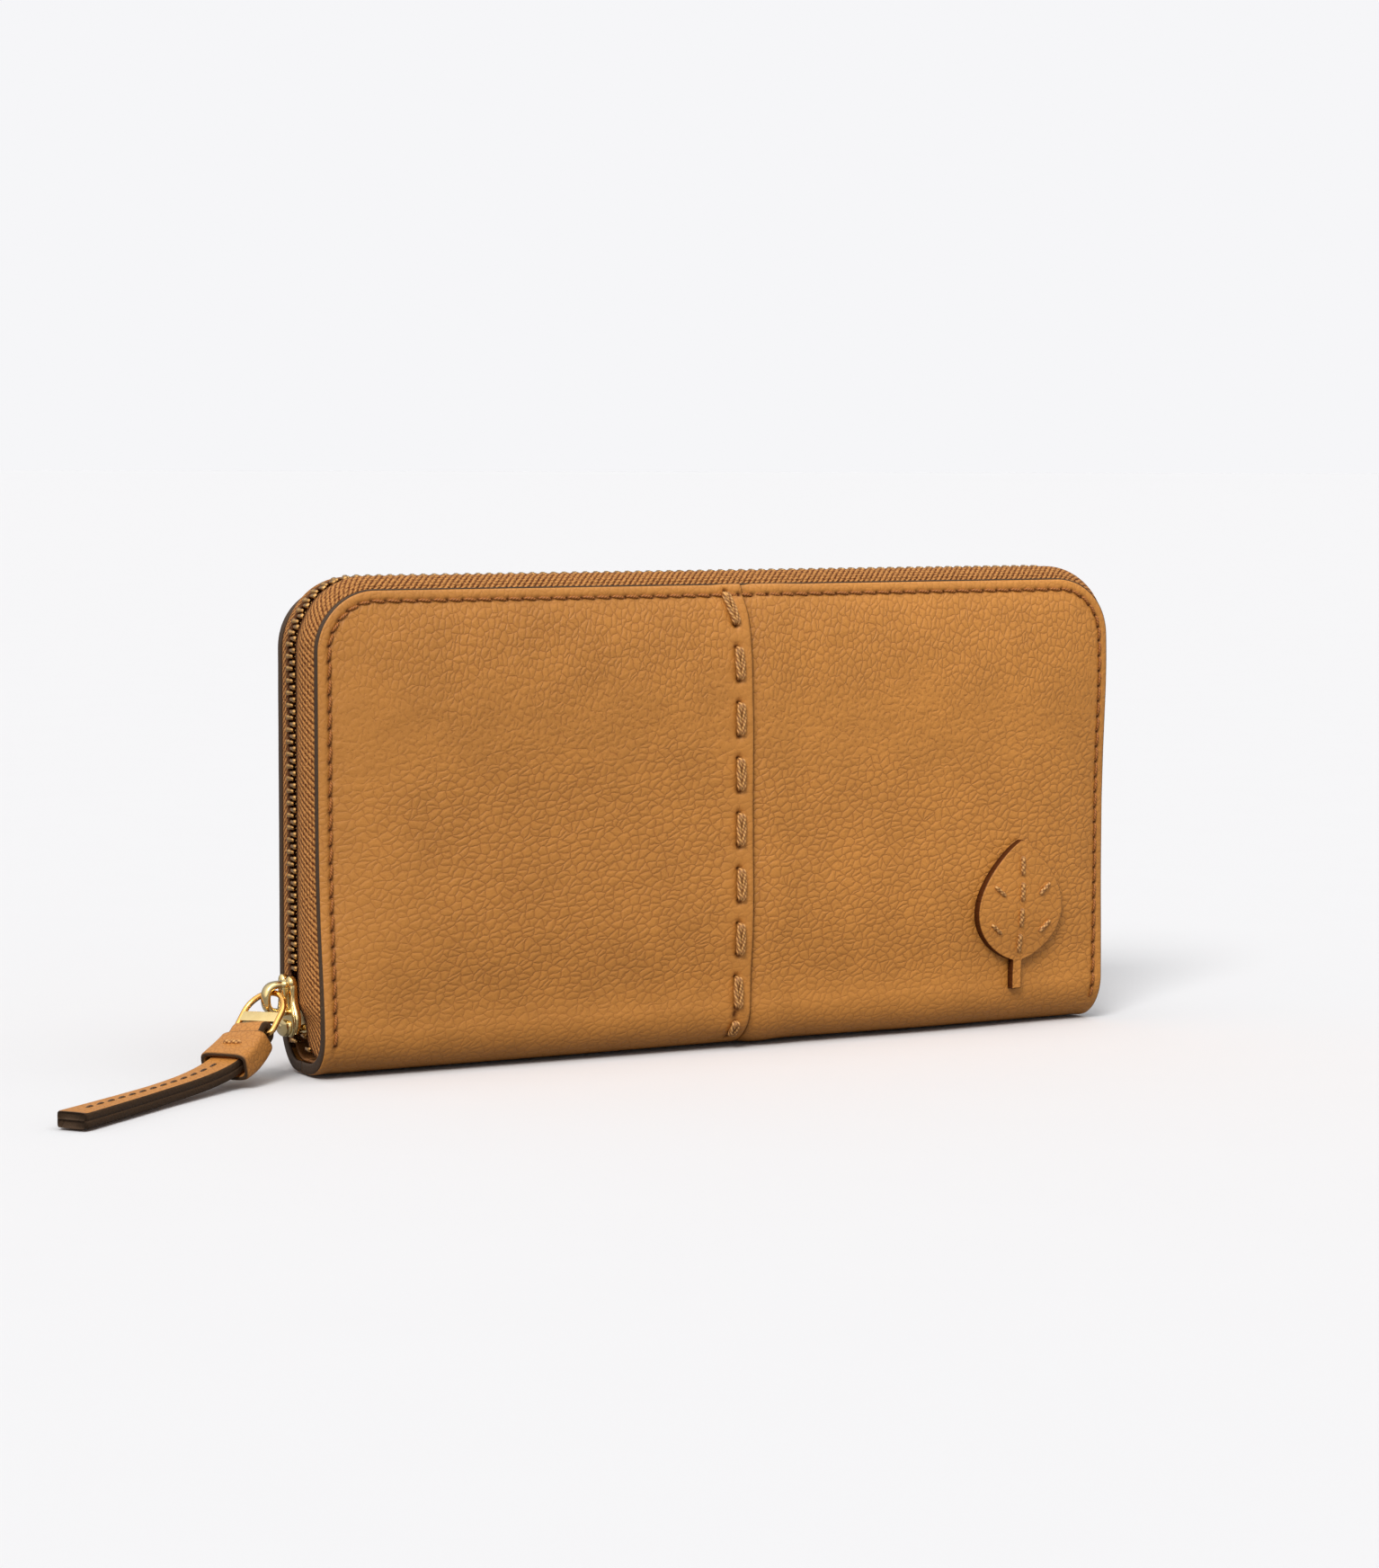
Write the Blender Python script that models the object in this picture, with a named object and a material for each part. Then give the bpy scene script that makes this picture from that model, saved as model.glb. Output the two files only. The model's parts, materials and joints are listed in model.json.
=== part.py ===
"""A long zip-around wallet standing on its folded spine, built as separate named pieces.

Frame: metres, +Z up, +X to the wallet's right, the front cover faces -Y. The origin is on the ground,
under the middle of the spine. Lengths below are in millimetres and become metres in add_piece().

Each rigid group hangs from an empty that stands on its joint's axis, so rotating or sliding that empty
moves the group the way the real one moves.
"""

import math

import bmesh
import bpy
from mathutils import Vector

MM = 0.001

# ---- Cover ------------------------------------------------------------------------------------------
WIDTH = 190.0
HEIGHT = 100.0
HALF_DEPTH = 10.5  # mid-plane to a cover's outer face, along its edge
CORNER_RADIUS = 11.0
FRONT_FLARE = 2.7  # the front stands this much further out at its foot
FLARE_HEIGHT = 22.0  # height over which the flare dies away
FRONT_CROWN = 3.8  # how far the middle of a cover bulges past its edge
BACK_CROWN = 3.2
LEATHER = 1.0

# ---- Spine: a flat strip on the ground between two quarter-ellipses -----------------------------------
HINGE_Z = 7.0  # foot of the front cover, where the leather folds when the wallet opens
BACK_FOOT_Z = 11.0  # foot of the back cover
FLAT_FRONT_Y = -7.0
FLAT_BACK_Y = 2.5
HINGE_Y = -(HALF_DEPTH + FRONT_FLARE)

# ---- Lap seam: the left skin laps over the right one ------------------------------------------------
LAP_X = 2.6
LAP_LIFT = 0.7  # the lapped edge stands this proud
LAP_RUN = 9.0  # width over which it rises
GAP = 0.3  # air left between neighbouring pieces
BACKING_HALF_WIDTH = 9.0

# ---- Layers inside each cover, as distances from the mid-plane ---------------------------------------
STIFFENER_OUT, STIFFENER = 9.5, 0.7
TAPE_MID, TAPE = 8.9, 0.3
LINING_OUT, LINING = 8.4, 0.5
POCKET_OUT, POCKET, POCKET_STEP = 7.6, 0.45, 0.75
POCKET_HALF_WIDTH = 82.0
POCKET_FOOT, POCKET_TOP, POCKET_DROP, POCKETS = 14.0, 84.0, 11.0, 4

# ---- Gussets: one inward pleat on each side of the coin pocket, front and rear -----------------------
GUSSET_MOUTH_X, GUSSET_FOLD_X = 90.0, 70.0
GUSSET_MID, GUSSET_SPREAD, GUSSET = 3.9, 0.35, 0.35
GUSSET_FOOT, GUSSET_TOP = 12.0, 90.0

# ---- Coin pocket ------------------------------------------------------------------------------------
COIN_HALF_WIDTH = 88.0
COIN_OUT, COIN_WALL = 3.0, 0.6
COIN_FOOT, COIN_TOP = 12.0, 77.0
COIN_SEAM = 4.0  # width of the sewn edge
COIN_COIL_Z = 79.2
COIN_COIL_HALF_X = 84.0
COIN_SLIDER_X = 78.0
COIN_TRAVEL = 152.0
COIN_TAB_LENGTH = 14.0

# ---- Main zip ---------------------------------------------------------------------------------------
ZIP_FOOT = 9.0
TOOTH_PITCH = 2.5
TOOTH_MID = 2.2  # distance of the chain outside the cover's outline
TOOTH_HEIGHT, BEAD_HEIGHT = 2.2, 1.0
TOOTH_NEAR, TOOTH_FAR = 1.2, 2.8  # from the mid-plane; the middle stays clear for the slider's wedge
BEAD_NEAR, BEAD_FAR = 1.9, 2.7
TAPE_END = 3.1
TAPE_TUCK = 7.0  # width of tape sewn between leather and lining
STOP_LENGTH = 2.4

# ---- Slider, in its own frame: u up the chain, v across it, w out of the wallet -----------------------
SLIDER_Z = 15.0  # height of its middle when the zip is closed
SLIDER_HALF_LENGTH = 5.9
SLIDER_HALF_WIDTH = 4.2
SLIDER_TRAVEL = 66.0
INNER_PLATE = (-0.4, 0.5)
OUTER_PLATE = (3.65, 4.4)
FLANGE_FOOT = 2.75
FLANGE = 0.75
WEDGE_HALF_WIDTH = 0.7
BRIDGE_HALF_WIDTH = 1.0
BRIDGE_OUT = 8.4
BRIDGE_LOW, BRIDGE_HIGH = -2.0, 4.9
BRIDGE_WIRE = 1.0

# ---- Pull: a framed ring on the bridge and a leather strap on the ring's lower bar ---------------------
RING_TURN = math.radians(29.0)  # the ring points this far from -X towards the front
RING_SLOPE = math.radians(48.5)
RING_ROLL = math.radians(5.0)
RING_TOP = (-100.95, 0.0, 17.0)
RING_LENGTH = 9.9
RING_ARCH = 4.9
RING_HALF_WIDTH = 5.1
RING_WIRE = 0.6
RING_PLATE = (4.7, 6.7)
RING_PLATE_THICK = 0.9
STRAP_TURN = math.radians(36.8)
STRAP_REACH = 62.5  # level distance from the ring's bar to the strap's end
STRAP_END_Z = 1.65
STRAP_SAG = 1.3  # the strap's last slow fall to the ground, over the longer distance
STRAP_FALLS = (8.0, 30.0)
TWIST_REACH = 7.0  # level distance over which the strap turns out of the ring's plane
STRAP_HALF_THICK = 1.6
STRAP_EYE = 1.0
STRAP_HEAD = 2.3
STRAP_HALF_WIDTHS = (4.1, 2.75, 3.55)  # at the ring, in the waist and at the end
KEEPER_START, KEEPER_END = 1.7, 11.0
KEEPER_WALL, KEEPER_SLACK = 0.9, 0.45

# ---- Leaf ornament ----------------------------------------------------------------------------------
LEAF_X, LEAF_FOOT, LEAF_TIP = 70.5, 15.0, 42.0
LEAF_HALF_WIDTH = 11.5
LEAF_THICK = 1.7
STEM_FOOT, STEM_HALF_WIDTH = 8.6, 1.3

SLIDER_PIVOT = (-(WIDTH / 2 + OUTER_PLATE[1]), 0.0, SLIDER_Z)


def ring_axes():
    """The pull ring's directions: down its length, along its bars, and out of its face."""
    level = Vector((-math.cos(RING_TURN), -math.sin(RING_TURN), 0.0))
    across = Vector((-level.y, level.x, 0.0))
    down = level * math.cos(RING_SLOPE) - Vector((0.0, 0.0, math.sin(RING_SLOPE)))
    rolled = across * math.cos(RING_ROLL) + down.cross(across) * math.sin(RING_ROLL)
    return down, rolled, rolled.cross(down)


def ring_bar():
    """Centre of the ring's lower bar, which the strap turns on."""
    return Vector(RING_TOP) + ring_axes()[0] * RING_LENGTH


COIN_SLIDER_PIVOT = (COIN_SLIDER_X, 0.0, COIN_COIL_Z)
COIN_TAB_PIVOT = (COIN_SLIDER_X - 2.4, 0.0, COIN_COIL_Z + 2.3)
BODIES = {
    "back_cover": (None, (0.0, 0.0, 0.0)),
    "front_cover": ("back_cover", (0.0, HINGE_Y, HINGE_Z)),
    "coin_pocket": ("back_cover", (0.0, HINGE_Y, HINGE_Z)),
    "zip_slider": ("back_cover", SLIDER_PIVOT),
    "pull_ring": ("zip_slider", RING_TOP),
    "pull_strap": ("pull_ring", tuple(ring_bar())),
    "coin_slider": ("coin_pocket", COIN_SLIDER_PIVOT),
    "coin_tab": ("coin_slider", COIN_TAB_PIVOT),
}
COLOURS = {
    "leather": ((0.50, 0.235, 0.075), 0.5, 0.0),
    "lining": ((0.42, 0.20, 0.075), 0.7, 0.0),
    "board": ((0.32, 0.24, 0.16), 0.9, 0.0),
    "tape": ((0.45, 0.20, 0.07), 0.85, 0.0),
    "gold": ((0.80, 0.58, 0.25), 0.25, 1.0),
    "coil": ((0.40, 0.19, 0.07), 0.5, 0.0),
}
materials = {}
empties = {}


# ---- Building blocks --------------------------------------------------------------------------------
def clear_scene():
    for obj in list(bpy.data.objects):
        bpy.data.objects.remove(obj)


def make_materials():
    for name, (colour, roughness, metallic) in COLOURS.items():
        material = bpy.data.materials.new(name)
        material.use_nodes = True
        shader = material.node_tree.nodes["Principled BSDF"]
        shader.inputs["Base Color"].default_value = (*colour, 1.0)
        shader.inputs["Roughness"].default_value = roughness
        shader.inputs["Metallic"].default_value = metallic
        materials[name] = material


def make_bodies():
    """One empty for each rigid group, on its joint's axis and under its parent's empty."""
    for name, (parent, pivot) in BODIES.items():
        empty = bpy.data.objects.new(f"{name}_pivot", None)
        bpy.context.scene.collection.objects.link(empty)
        start = Vector(BODIES[parent][1]) if parent else Vector()
        empty.parent = empties.get(parent)
        empty.location = (Vector(pivot) - start) * MM
        empties[name] = empty


def add_piece(name, body, material, points, faces, helper=False):
    """A solid from points in wallet coordinates (mm), held by its body's empty."""
    pivot = Vector(BODIES[body][1])
    mesh = bpy.data.meshes.new(name)
    mesh.from_pydata([(Vector(p) - pivot) * MM for p in points], [], faces)
    work = bmesh.new()
    work.from_mesh(mesh)
    bmesh.ops.recalc_face_normals(work, faces=work.faces)
    work.to_mesh(mesh)
    work.free()
    mesh.shade_smooth()
    mesh.set_sharp_from_angle(angle=math.radians(35))
    mesh.materials.append(materials[material])
    obj = bpy.data.objects.new(name, mesh)
    bpy.context.scene.collection.objects.link(obj)
    obj.parent = empties[body]
    if helper:
        obj.hide_render = True
        obj.display_type = "WIRE"
    return obj


def combine(obj, helper, operation):
    modifier = obj.modifiers.new(helper.name, "BOOLEAN")
    modifier.operation = operation
    modifier.object = helper
    modifier.solver = "EXACT"


def between(outer, inner):
    """Points and faces of the solid between two matching grids of points."""
    columns, rows = len(outer), len(outer[0])
    points = [p for column in outer + inner for p in column]
    shift = columns * rows
    faces = []
    for i in range(columns - 1):
        for j in range(rows - 1):
            a, b = i * rows + j, (i + 1) * rows + j
            faces.append((a, b, b + 1, a + 1))
            faces.append((a + 1 + shift, b + 1 + shift, b + shift, a + shift))
    rim = [i * rows for i in range(columns)]
    rim += [(columns - 1) * rows + j for j in range(1, rows)]
    rim += [i * rows + rows - 1 for i in range(columns - 2, -1, -1)]
    rim += list(range(rows - 2, 0, -1))
    for a, b in zip(rim, rim[1:] + rim[:1]):
        faces.append((b, a, a + shift, b + shift))
    return points, faces


def loft(rings, loop=False):
    """Points and faces of a solid through matching rings of points; a loop joins its last ring to its first."""
    size = len(rings[0])
    points = [p for ring in rings for p in ring]
    faces = []
    for i in range(len(rings) if loop else len(rings) - 1):
        here, there = i * size, (i + 1) % len(rings) * size
        for k in range(size):
            n = (k + 1) % size
            faces.append((here + k, here + n, there + n, there + k))
    if not loop:
        faces.append(tuple(range(size - 1, -1, -1)))
        faces.append(tuple(range(len(points) - size, len(points))))
    return points, faces


def box(low, high):
    """Points and faces of a box between two corners."""
    (x0, y0, z0), (x1, y1, z1) = low, high
    ring = [(x0, y0), (x1, y0), (x1, y1), (x0, y1)]
    return loft([[(x, y, z) for x, y in ring] for z in (z0, z1)])


def ribbon(line, thickness):
    """The closed outline of a strip that follows a line of 2D points."""
    left, right = [], []
    for k, here in enumerate(line):
        before, after = Vector(line[max(k - 1, 0)]), Vector(line[min(k + 1, len(line) - 1)])
        along = (after - before).normalized()
        side = Vector((-along.y, along.x)) * thickness / 2
        left.append(Vector(here) + side)
        right.append(Vector(here) - side)
    return left + right[::-1]


def steps(start, end, count):
    return [start + (end - start) * k / (count - 1) for k in range(count)]


# ---- The cover's shape ------------------------------------------------------------------------------
def flare(z):
    """How far the front stands out past its straight plane, most at the foot."""
    return FRONT_FLARE * math.exp((HINGE_Z - z) / FLARE_HEIGHT)


def crown(x, z, foot):
    """Share of the full bulge at a point: none on the edge, all of it in the middle."""
    middle, half = (HEIGHT + foot) / 2, (HEIGHT - foot) / 2
    across = 1 - min(1.0, abs(x) / (WIDTH / 2)) ** 8
    upward = 1 - min(1.0, abs(z - middle) / half) ** 4
    return across * upward


def cover_y(side, x, z):
    """The outer face of a cover: side is -1 for the front and 1 for the back."""
    if side < 0:
        return -(HALF_DEPTH + flare(z) + FRONT_CROWN * crown(x, z, HINGE_Z))
    return HALF_DEPTH + BACK_CROWN * crown(x, z, BACK_FOOT_Z)


def top_at(x, inset=0.0):
    """Height of the cover's outline above x, with its rounded corner, drawn in by inset."""
    radius = CORNER_RADIUS - inset
    past = abs(x) - (WIDTH / 2 - CORNER_RADIUS)
    rise = math.sqrt(max(0.0, radius**2 - max(0.0, past) ** 2))
    return HEIGHT - CORNER_RADIUS + rise


def outline_columns(x0, x1, inset=0.0, middle=2):
    """x positions from x0 to x1, closer together where the corners turn."""
    straight, radius = WIDTH / 2 - CORNER_RADIUS, CORNER_RADIUS - inset
    turn = [straight + radius * math.sin(math.radians(a)) for a in (20, 38, 54, 68, 80)]
    turn = [x for x in turn] + [straight + radius]
    columns = {x0, x1, *steps(max(x0, -straight), min(x1, straight), middle)}
    columns |= {s * x for x in turn for s in (-1, 1) if x0 < s * x < x1}
    return sorted(columns)


def lap_lift(x):
    """Rise of the left skin towards its lapped edge."""
    share = min(1.0, max(0.0, (x - LAP_X + LAP_RUN) / LAP_RUN))
    return LAP_LIFT * share * share * (3 - 2 * share)


def spine_line(inward, count=8):
    """(y, z) round the spine from the front cover's foot to the back one's, drawn inward by a distance."""
    line = []
    for centre, half_y, half_z, start in (
        (FLAT_FRONT_Y, FLAT_FRONT_Y - HINGE_Y, HINGE_Z, 180),
        (FLAT_BACK_Y, HALF_DEPTH - FLAT_BACK_Y, BACK_FOOT_Z, 270),
    ):
        for angle in steps(start, start + 90, count):
            c, s = math.cos(math.radians(angle)), math.sin(math.radians(angle))
            normal = Vector((c / half_y, s / half_z)).normalized()
            line.append(Vector((centre + half_y * c, half_z + half_z * s)) - normal * inward)
    return line


def front_skin(name, x0, x1, lift):
    """One half of the front leather, from its foot at the hinge to the top edge."""
    outer, inner = [], []
    for x in outline_columns(x0, x1, middle=9):
        rows = steps(HINGE_Z + GAP, top_at(x), 13)
        outer.append([(x, cover_y(-1, x, z) - lift(x), z) for z in rows])
        inner.append([(x, y + LEATHER, z) for x, y, z in outer[-1]])
    add_piece(name, "front_cover", "leather", *between(outer, inner))


def back_skin(name, x0, x1, lift):
    """One half of the leather that runs round the spine and up the back."""
    outer, inner = [], []
    for x in outline_columns(x0, x1, middle=9):
        rise = lift(x)
        rows = steps(BACK_FOOT_Z, top_at(x), 12)[1:]
        face = [(x, y, z) for y, z in spine_line(0.0)]
        back = [(x, y, z) for y, z in spine_line(LEATHER)]
        face += [(x, cover_y(1, x, z) + rise, z) for z in rows]
        back += [(x, cover_y(1, x, z) + rise - LEATHER, z) for z in rows]
        outer.append(face)
        inner.append(back)
    add_piece(name, "back_cover", "leather", *between(outer, inner))


def sheet(name, body, side, material, inset, foot, out, thickness, rows=9):
    """A layer of a cover that keeps the cover's outline and flare but not its crown."""
    half = WIDTH / 2 - inset
    outer, inner = [], []
    for x in outline_columns(-half, half, inset):
        heights = steps(foot, top_at(x, inset), rows)
        flares = [flare(z) if side < 0 else 0.0 for z in heights]
        outer.append([(x, side * (out + f), z) for z, f in zip(heights, flares)])
        inner.append([(x, side * (out + f - thickness), z) for z, f in zip(heights, flares)])
    add_piece(name, body, material, *between(outer, inner))


def seam_backing(name, body, side, foot):
    """The strip behind the lap seam, under the two skins."""
    outer, inner = [], []
    depth = LEATHER + 2 * GAP
    for x in steps(LAP_X - BACKING_HALF_WIDTH, LAP_X + BACKING_HALF_WIDTH, 5):
        heights = steps(foot, HEIGHT - 12.0, 13)
        outer.append([(x, cover_y(side, x, z) - side * depth, z) for z in heights])
        inner.append([(x, y - side * LINING, z) for x, y, z in outer[-1]])
    add_piece(name, body, "tape", *between(outer, inner))


def card_pockets(prefix, body, side):
    """Stepped leaves on the cover's inner wall, the deepest one highest."""
    for k in range(POCKETS):
        near = side * (POCKET_OUT - k * POCKET_STEP)
        far = near - side * POCKET
        low = (-POCKET_HALF_WIDTH, min(near, far), POCKET_FOOT)
        high = (POCKET_HALF_WIDTH, max(near, far), POCKET_TOP - k * POCKET_DROP)
        add_piece(f"{prefix}_card_pocket_{k + 1}", body, "lining", *box(low, high))


def gusset(name, body, side, end):
    """A pleat folded inwards between a cover's wall and the coin pocket; end is -1 for the left."""
    line = [
        (end * GUSSET_MOUTH_X, side * (GUSSET_MID + GUSSET_SPREAD)),
        (end * (GUSSET_FOLD_X + 1), side * (GUSSET_MID + GUSSET_SPREAD)),
        (end * GUSSET_FOLD_X, side * GUSSET_MID),
        (end * (GUSSET_FOLD_X + 1), side * (GUSSET_MID - GUSSET_SPREAD)),
        (end * GUSSET_MOUTH_X, side * (GUSSET_MID - GUSSET_SPREAD)),
    ]
    ring = ribbon(line, GUSSET)
    rings = [[(p.x, p.y, z) for p in ring] for z in (GUSSET_FOOT, GUSSET_TOP)]
    add_piece(name, body, "lining", *loft(rings))


# ---- Main zip ---------------------------------------------------------------------------------------
CHAIN_RADIUS = CORNER_RADIUS + TOOTH_MID
ZIP_SIDE = HEIGHT - CORNER_RADIUS - ZIP_FOOT
ZIP_TURN = CHAIN_RADIUS * math.pi / 2
ZIP_ACROSS = WIDTH - 2 * CORNER_RADIUS
ZIP_LENGTH = 2 * (ZIP_SIDE + ZIP_TURN) + ZIP_ACROSS


def zip_frame(s):
    """Point on the cover's outline and outward direction, s mm along the chain from the foot of the left side."""
    x, z = WIDTH / 2 - CORNER_RADIUS, HEIGHT - CORNER_RADIUS
    if s <= ZIP_SIDE:
        centre, normal = Vector((-x, ZIP_FOOT + s)), Vector((-1, 0))
    elif s <= ZIP_SIDE + ZIP_TURN:
        angle = (s - ZIP_SIDE) / CHAIN_RADIUS
        centre, normal = Vector((-x, z)), Vector((-math.cos(angle), math.sin(angle)))
    elif s <= ZIP_SIDE + ZIP_TURN + ZIP_ACROSS:
        centre, normal = Vector((-x + s - ZIP_SIDE - ZIP_TURN, z)), Vector((0, 1))
    elif s <= ZIP_LENGTH - ZIP_SIDE:
        angle = (s - ZIP_SIDE - ZIP_TURN - ZIP_ACROSS) / CHAIN_RADIUS
        centre, normal = Vector((x, z)), Vector((math.sin(angle), math.cos(angle)))
    else:
        centre, normal = Vector((x, ZIP_FOOT + ZIP_LENGTH - s)), Vector((1, 0))
    return centre + normal * CORNER_RADIUS, normal


def zip_ring(s, section):
    """A section of (distance out of the outline, y) points, placed s mm along the chain."""
    base, normal = zip_frame(s)
    placed = [(base + normal * out, y) for out, y in section]
    return [(p.x, y, p.y) for p, y in placed]


def zip_stations():
    """Distances along the chain: its straight runs split a few times and its corners finely."""
    corners = [ZIP_SIDE, ZIP_SIDE + ZIP_TURN, ZIP_LENGTH - ZIP_SIDE - ZIP_TURN, ZIP_LENGTH - ZIP_SIDE]
    stations = set(steps(0.0, corners[0], 7)) | set(steps(corners[0], corners[1], 8))
    stations |= set(steps(corners[2], corners[3], 8)) | set(steps(corners[3], ZIP_LENGTH, 7))
    return sorted(stations)


def zip_tape(name, body, side):
    """One tape: tucked flat behind the leather, then arching out to the chain."""
    rings = []
    for s in zip_stations():
        height = zip_frame(s)[0].y
        tuck = TAPE_MID + (flare(height) if side < 0 else 0.0)
        line = [
            (-TAPE_TUCK, tuck),
            (-0.9, tuck),
            (0.3, tuck - 0.8),
            (1.4, tuck - 3.0),
            (TOOTH_MID, TAPE_END + 0.9),
            (TOOTH_MID, TAPE_END),
        ]
        section = [(p.x, side * p.y) for p in ribbon(line, TAPE)]
        rings.append(zip_ring(s, section))
    add_piece(name, body, "tape", *loft(rings))


def zip_teeth(name, body, side):
    """One row of teeth on its bead, from above the closed slider round to the right-hand stop."""

    def section(near, far, height):
        low, high = TOOTH_MID - height / 2, TOOTH_MID + height / 2
        return [(low, side * near), (high, side * near), (high, side * far), (low, side * far)]

    tooth = section(TOOTH_NEAR, TOOTH_FAR, TOOTH_HEIGHT)
    bead = section(BEAD_NEAR, BEAD_FAR, BEAD_HEIGHT)
    start = SLIDER_Z + SLIDER_HALF_LENGTH - ZIP_FOOT + 1.0
    offset = TOOTH_PITCH / 2 if side > 0 else 0.0
    end = ZIP_LENGTH - STOP_LENGTH - 1.0 - offset
    count = int((end - start - offset) // TOOTH_PITCH)
    rings = []
    for k in range(count):
        s = start + offset + k * TOOTH_PITCH
        rings += [zip_ring(s, bead), zip_ring(s + TOOTH_PITCH / 2, tooth)]
    rings.append(zip_ring(s + TOOTH_PITCH, bead))
    add_piece(name, body, "gold", *loft(rings))


def zip_stop():
    """The clamp that ends the chain at the foot of the right side."""
    low = (WIDTH / 2 + TOOTH_MID - 1.4, -BEAD_FAR, ZIP_FOOT)
    high = (WIDTH / 2 + TOOTH_MID + 1.4, BEAD_FAR, ZIP_FOOT + STOP_LENGTH)
    add_piece("zip_end_stop", "back_cover", "gold", *box(low, high))


# ---- Slider, ring and strap -------------------------------------------------------------------------
def slider_point(u, v, w):
    return (-(WIDTH / 2 + w), v, SLIDER_Z + u)


def slider_plate(name, span, helper):
    """A slider plate: straight flanks, a narrow mouth above and two rounded lobes below."""
    half = [(0.0, 5.0), (2.0, 6.0), (3.6, 5.2), (SLIDER_HALF_WIDTH, 3.4), (SLIDER_HALF_WIDTH, -2.8)]
    half += [(3.3, -5.2), (1.6, -SLIDER_HALF_LENGTH), (0.0, -5.7)]
    outline = half + [(-v, u) for v, u in half[-2:0:-1]]
    rings = [[slider_point(u, v, w) for v, u in outline] for w in span]
    return add_piece(name, "zip_slider", "gold", *loft(rings), helper=helper)


def slider_block(name, low, high):
    (u0, v0, w0), (u1, v1, w1) = low, high
    ring = [(u0, v0), (u1, v0), (u1, v1), (u0, v1)]
    rings = [[slider_point(u, v, w) for u, v in ring] for w in (w0, w1)]
    return add_piece(name, "zip_slider", "gold", *loft(rings), helper=True)


def slider():
    """Two plates joined by a wedge, with flanges that hook over the teeth."""
    bite = 0.3  # overlap of joined shapes
    body = slider_plate("slider_body", OUTER_PLATE, helper=False)
    combine(body, slider_plate("slider_inner_plate", INNER_PLATE, helper=True), "UNION")
    wedge_low = (-5.0, -WEDGE_HALF_WIDTH, INNER_PLATE[1] - bite)
    wedge_high = (-1.6, WEDGE_HALF_WIDTH, OUTER_PLATE[0] + bite)
    combine(body, slider_block("slider_wedge", wedge_low, wedge_high), "UNION")
    for side in (-1, 1):
        near, far = sorted((side * (SLIDER_HALF_WIDTH - FLANGE), side * (SLIDER_HALF_WIDTH - 0.05)))
        low = (-2.6, near, FLANGE_FOOT)
        high = (3.2, far, OUTER_PLATE[0] + bite)
        combine(body, slider_block(f"slider_flange_{'front' if side < 0 else 'rear'}", low, high), "UNION")


def bridge():
    """The arched lug on the slider's back, which the pull ring hangs in."""
    base = OUTER_PLATE[1] + 0.1
    middle, half = (BRIDGE_LOW + BRIDGE_HIGH) / 2, (BRIDGE_HIGH - BRIDGE_LOW) / 2
    rise = BRIDGE_OUT - base

    def arch(inset):
        """Foot, curved back and foot of the lug, drawn in by a distance."""
        foot = [(middle - half + inset, base)]
        bend = [
            (middle - (half - inset) * math.cos(a), base + (rise - inset) * math.sin(a) ** 0.6)
            for a in steps(math.pi / 10, math.pi * 9 / 10, 9)
        ]
        return foot + bend + [(middle + half - inset, base)]

    outline = arch(0.0) + arch(BRIDGE_WIRE)[::-1]
    rings = [[slider_point(u, v, w) for u, w in outline] for v in (-BRIDGE_HALF_WIDTH, BRIDGE_HALF_WIDTH)]
    add_piece("slider_bridge", "zip_slider", "gold", *loft(rings))


def ring_line():
    """(down, across) round the ring: arch, straight arms and rounded lower corners."""
    arch = [
        (RING_ARCH * (1 - math.sin(a)), -RING_HALF_WIDTH * math.cos(a)) for a in steps(0.0, math.pi, 13)
    ]
    turn = 1.0
    foot = []
    for side, angles in ((1, steps(90, 0, 4)), (-1, steps(0, 90, 4))):
        for a in angles:
            down = RING_LENGTH - turn + turn * math.cos(math.radians(a))
            across = RING_HALF_WIDTH - turn + turn * math.sin(math.radians(a))
            foot.append((down, side * across))
    return arch + foot


def pull_ring():
    """A wire frame with an arched top, a flat plate across it and a round bar at its foot."""
    down, across, out = ring_axes()
    top = Vector(RING_TOP)
    line = ring_line()
    rings = []
    for k, (d, c) in enumerate(line):
        before, after = Vector(line[k - 1]), Vector(line[(k + 1) % len(line)])
        along = (after - before).normalized()
        side = down * along.y - across * along.x
        centre = top + down * d + across * c
        rings.append(
            [
                centre + (side * math.cos(a) + out * math.sin(a)) * RING_WIRE
                for a in (math.radians(45 * i) for i in range(8))
            ]
        )
    ring = add_piece("pull_ring", "pull_ring", "gold", *loft(rings, loop=True))
    ends = []
    for c in (-RING_HALF_WIDTH, RING_HALF_WIDTH):
        corners = [(d, o) for d in RING_PLATE for o in (-RING_PLATE_THICK / 2, RING_PLATE_THICK / 2)]
        order = (corners[0], corners[1], corners[3], corners[2])
        ends.append([top + across * c + down * d + out * o for d, o in order])
    combine(ring, add_piece("ring_plate", "pull_ring", "gold", *loft(ends), helper=True), "UNION")


def strap_frame(reach):
    """Centre of the strap a level distance from the ring's bar, with its directions along, across and up."""
    bar = ring_bar()
    level = Vector((-math.cos(STRAP_TURN), -math.sin(STRAP_TURN), 0.0))
    steep = (bar.z - STRAP_END_Z - STRAP_SAG) * math.exp(-reach / STRAP_FALLS[0])
    slow = STRAP_SAG * math.exp(-reach / STRAP_FALLS[1])
    centre = Vector((bar.x, bar.y, STRAP_END_Z + steep + slow)) + level * reach
    along = (level - Vector((0, 0, steep / STRAP_FALLS[0] + slow / STRAP_FALLS[1]))).normalized()
    share = math.exp(-((reach / TWIST_REACH) ** 2))
    across = (ring_axes()[1] * share + Vector((-level.y, level.x, 0.0)) * (1 - share)).normalized()
    up = across.cross(along).normalized()
    return centre, along, along.cross(up), up


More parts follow.
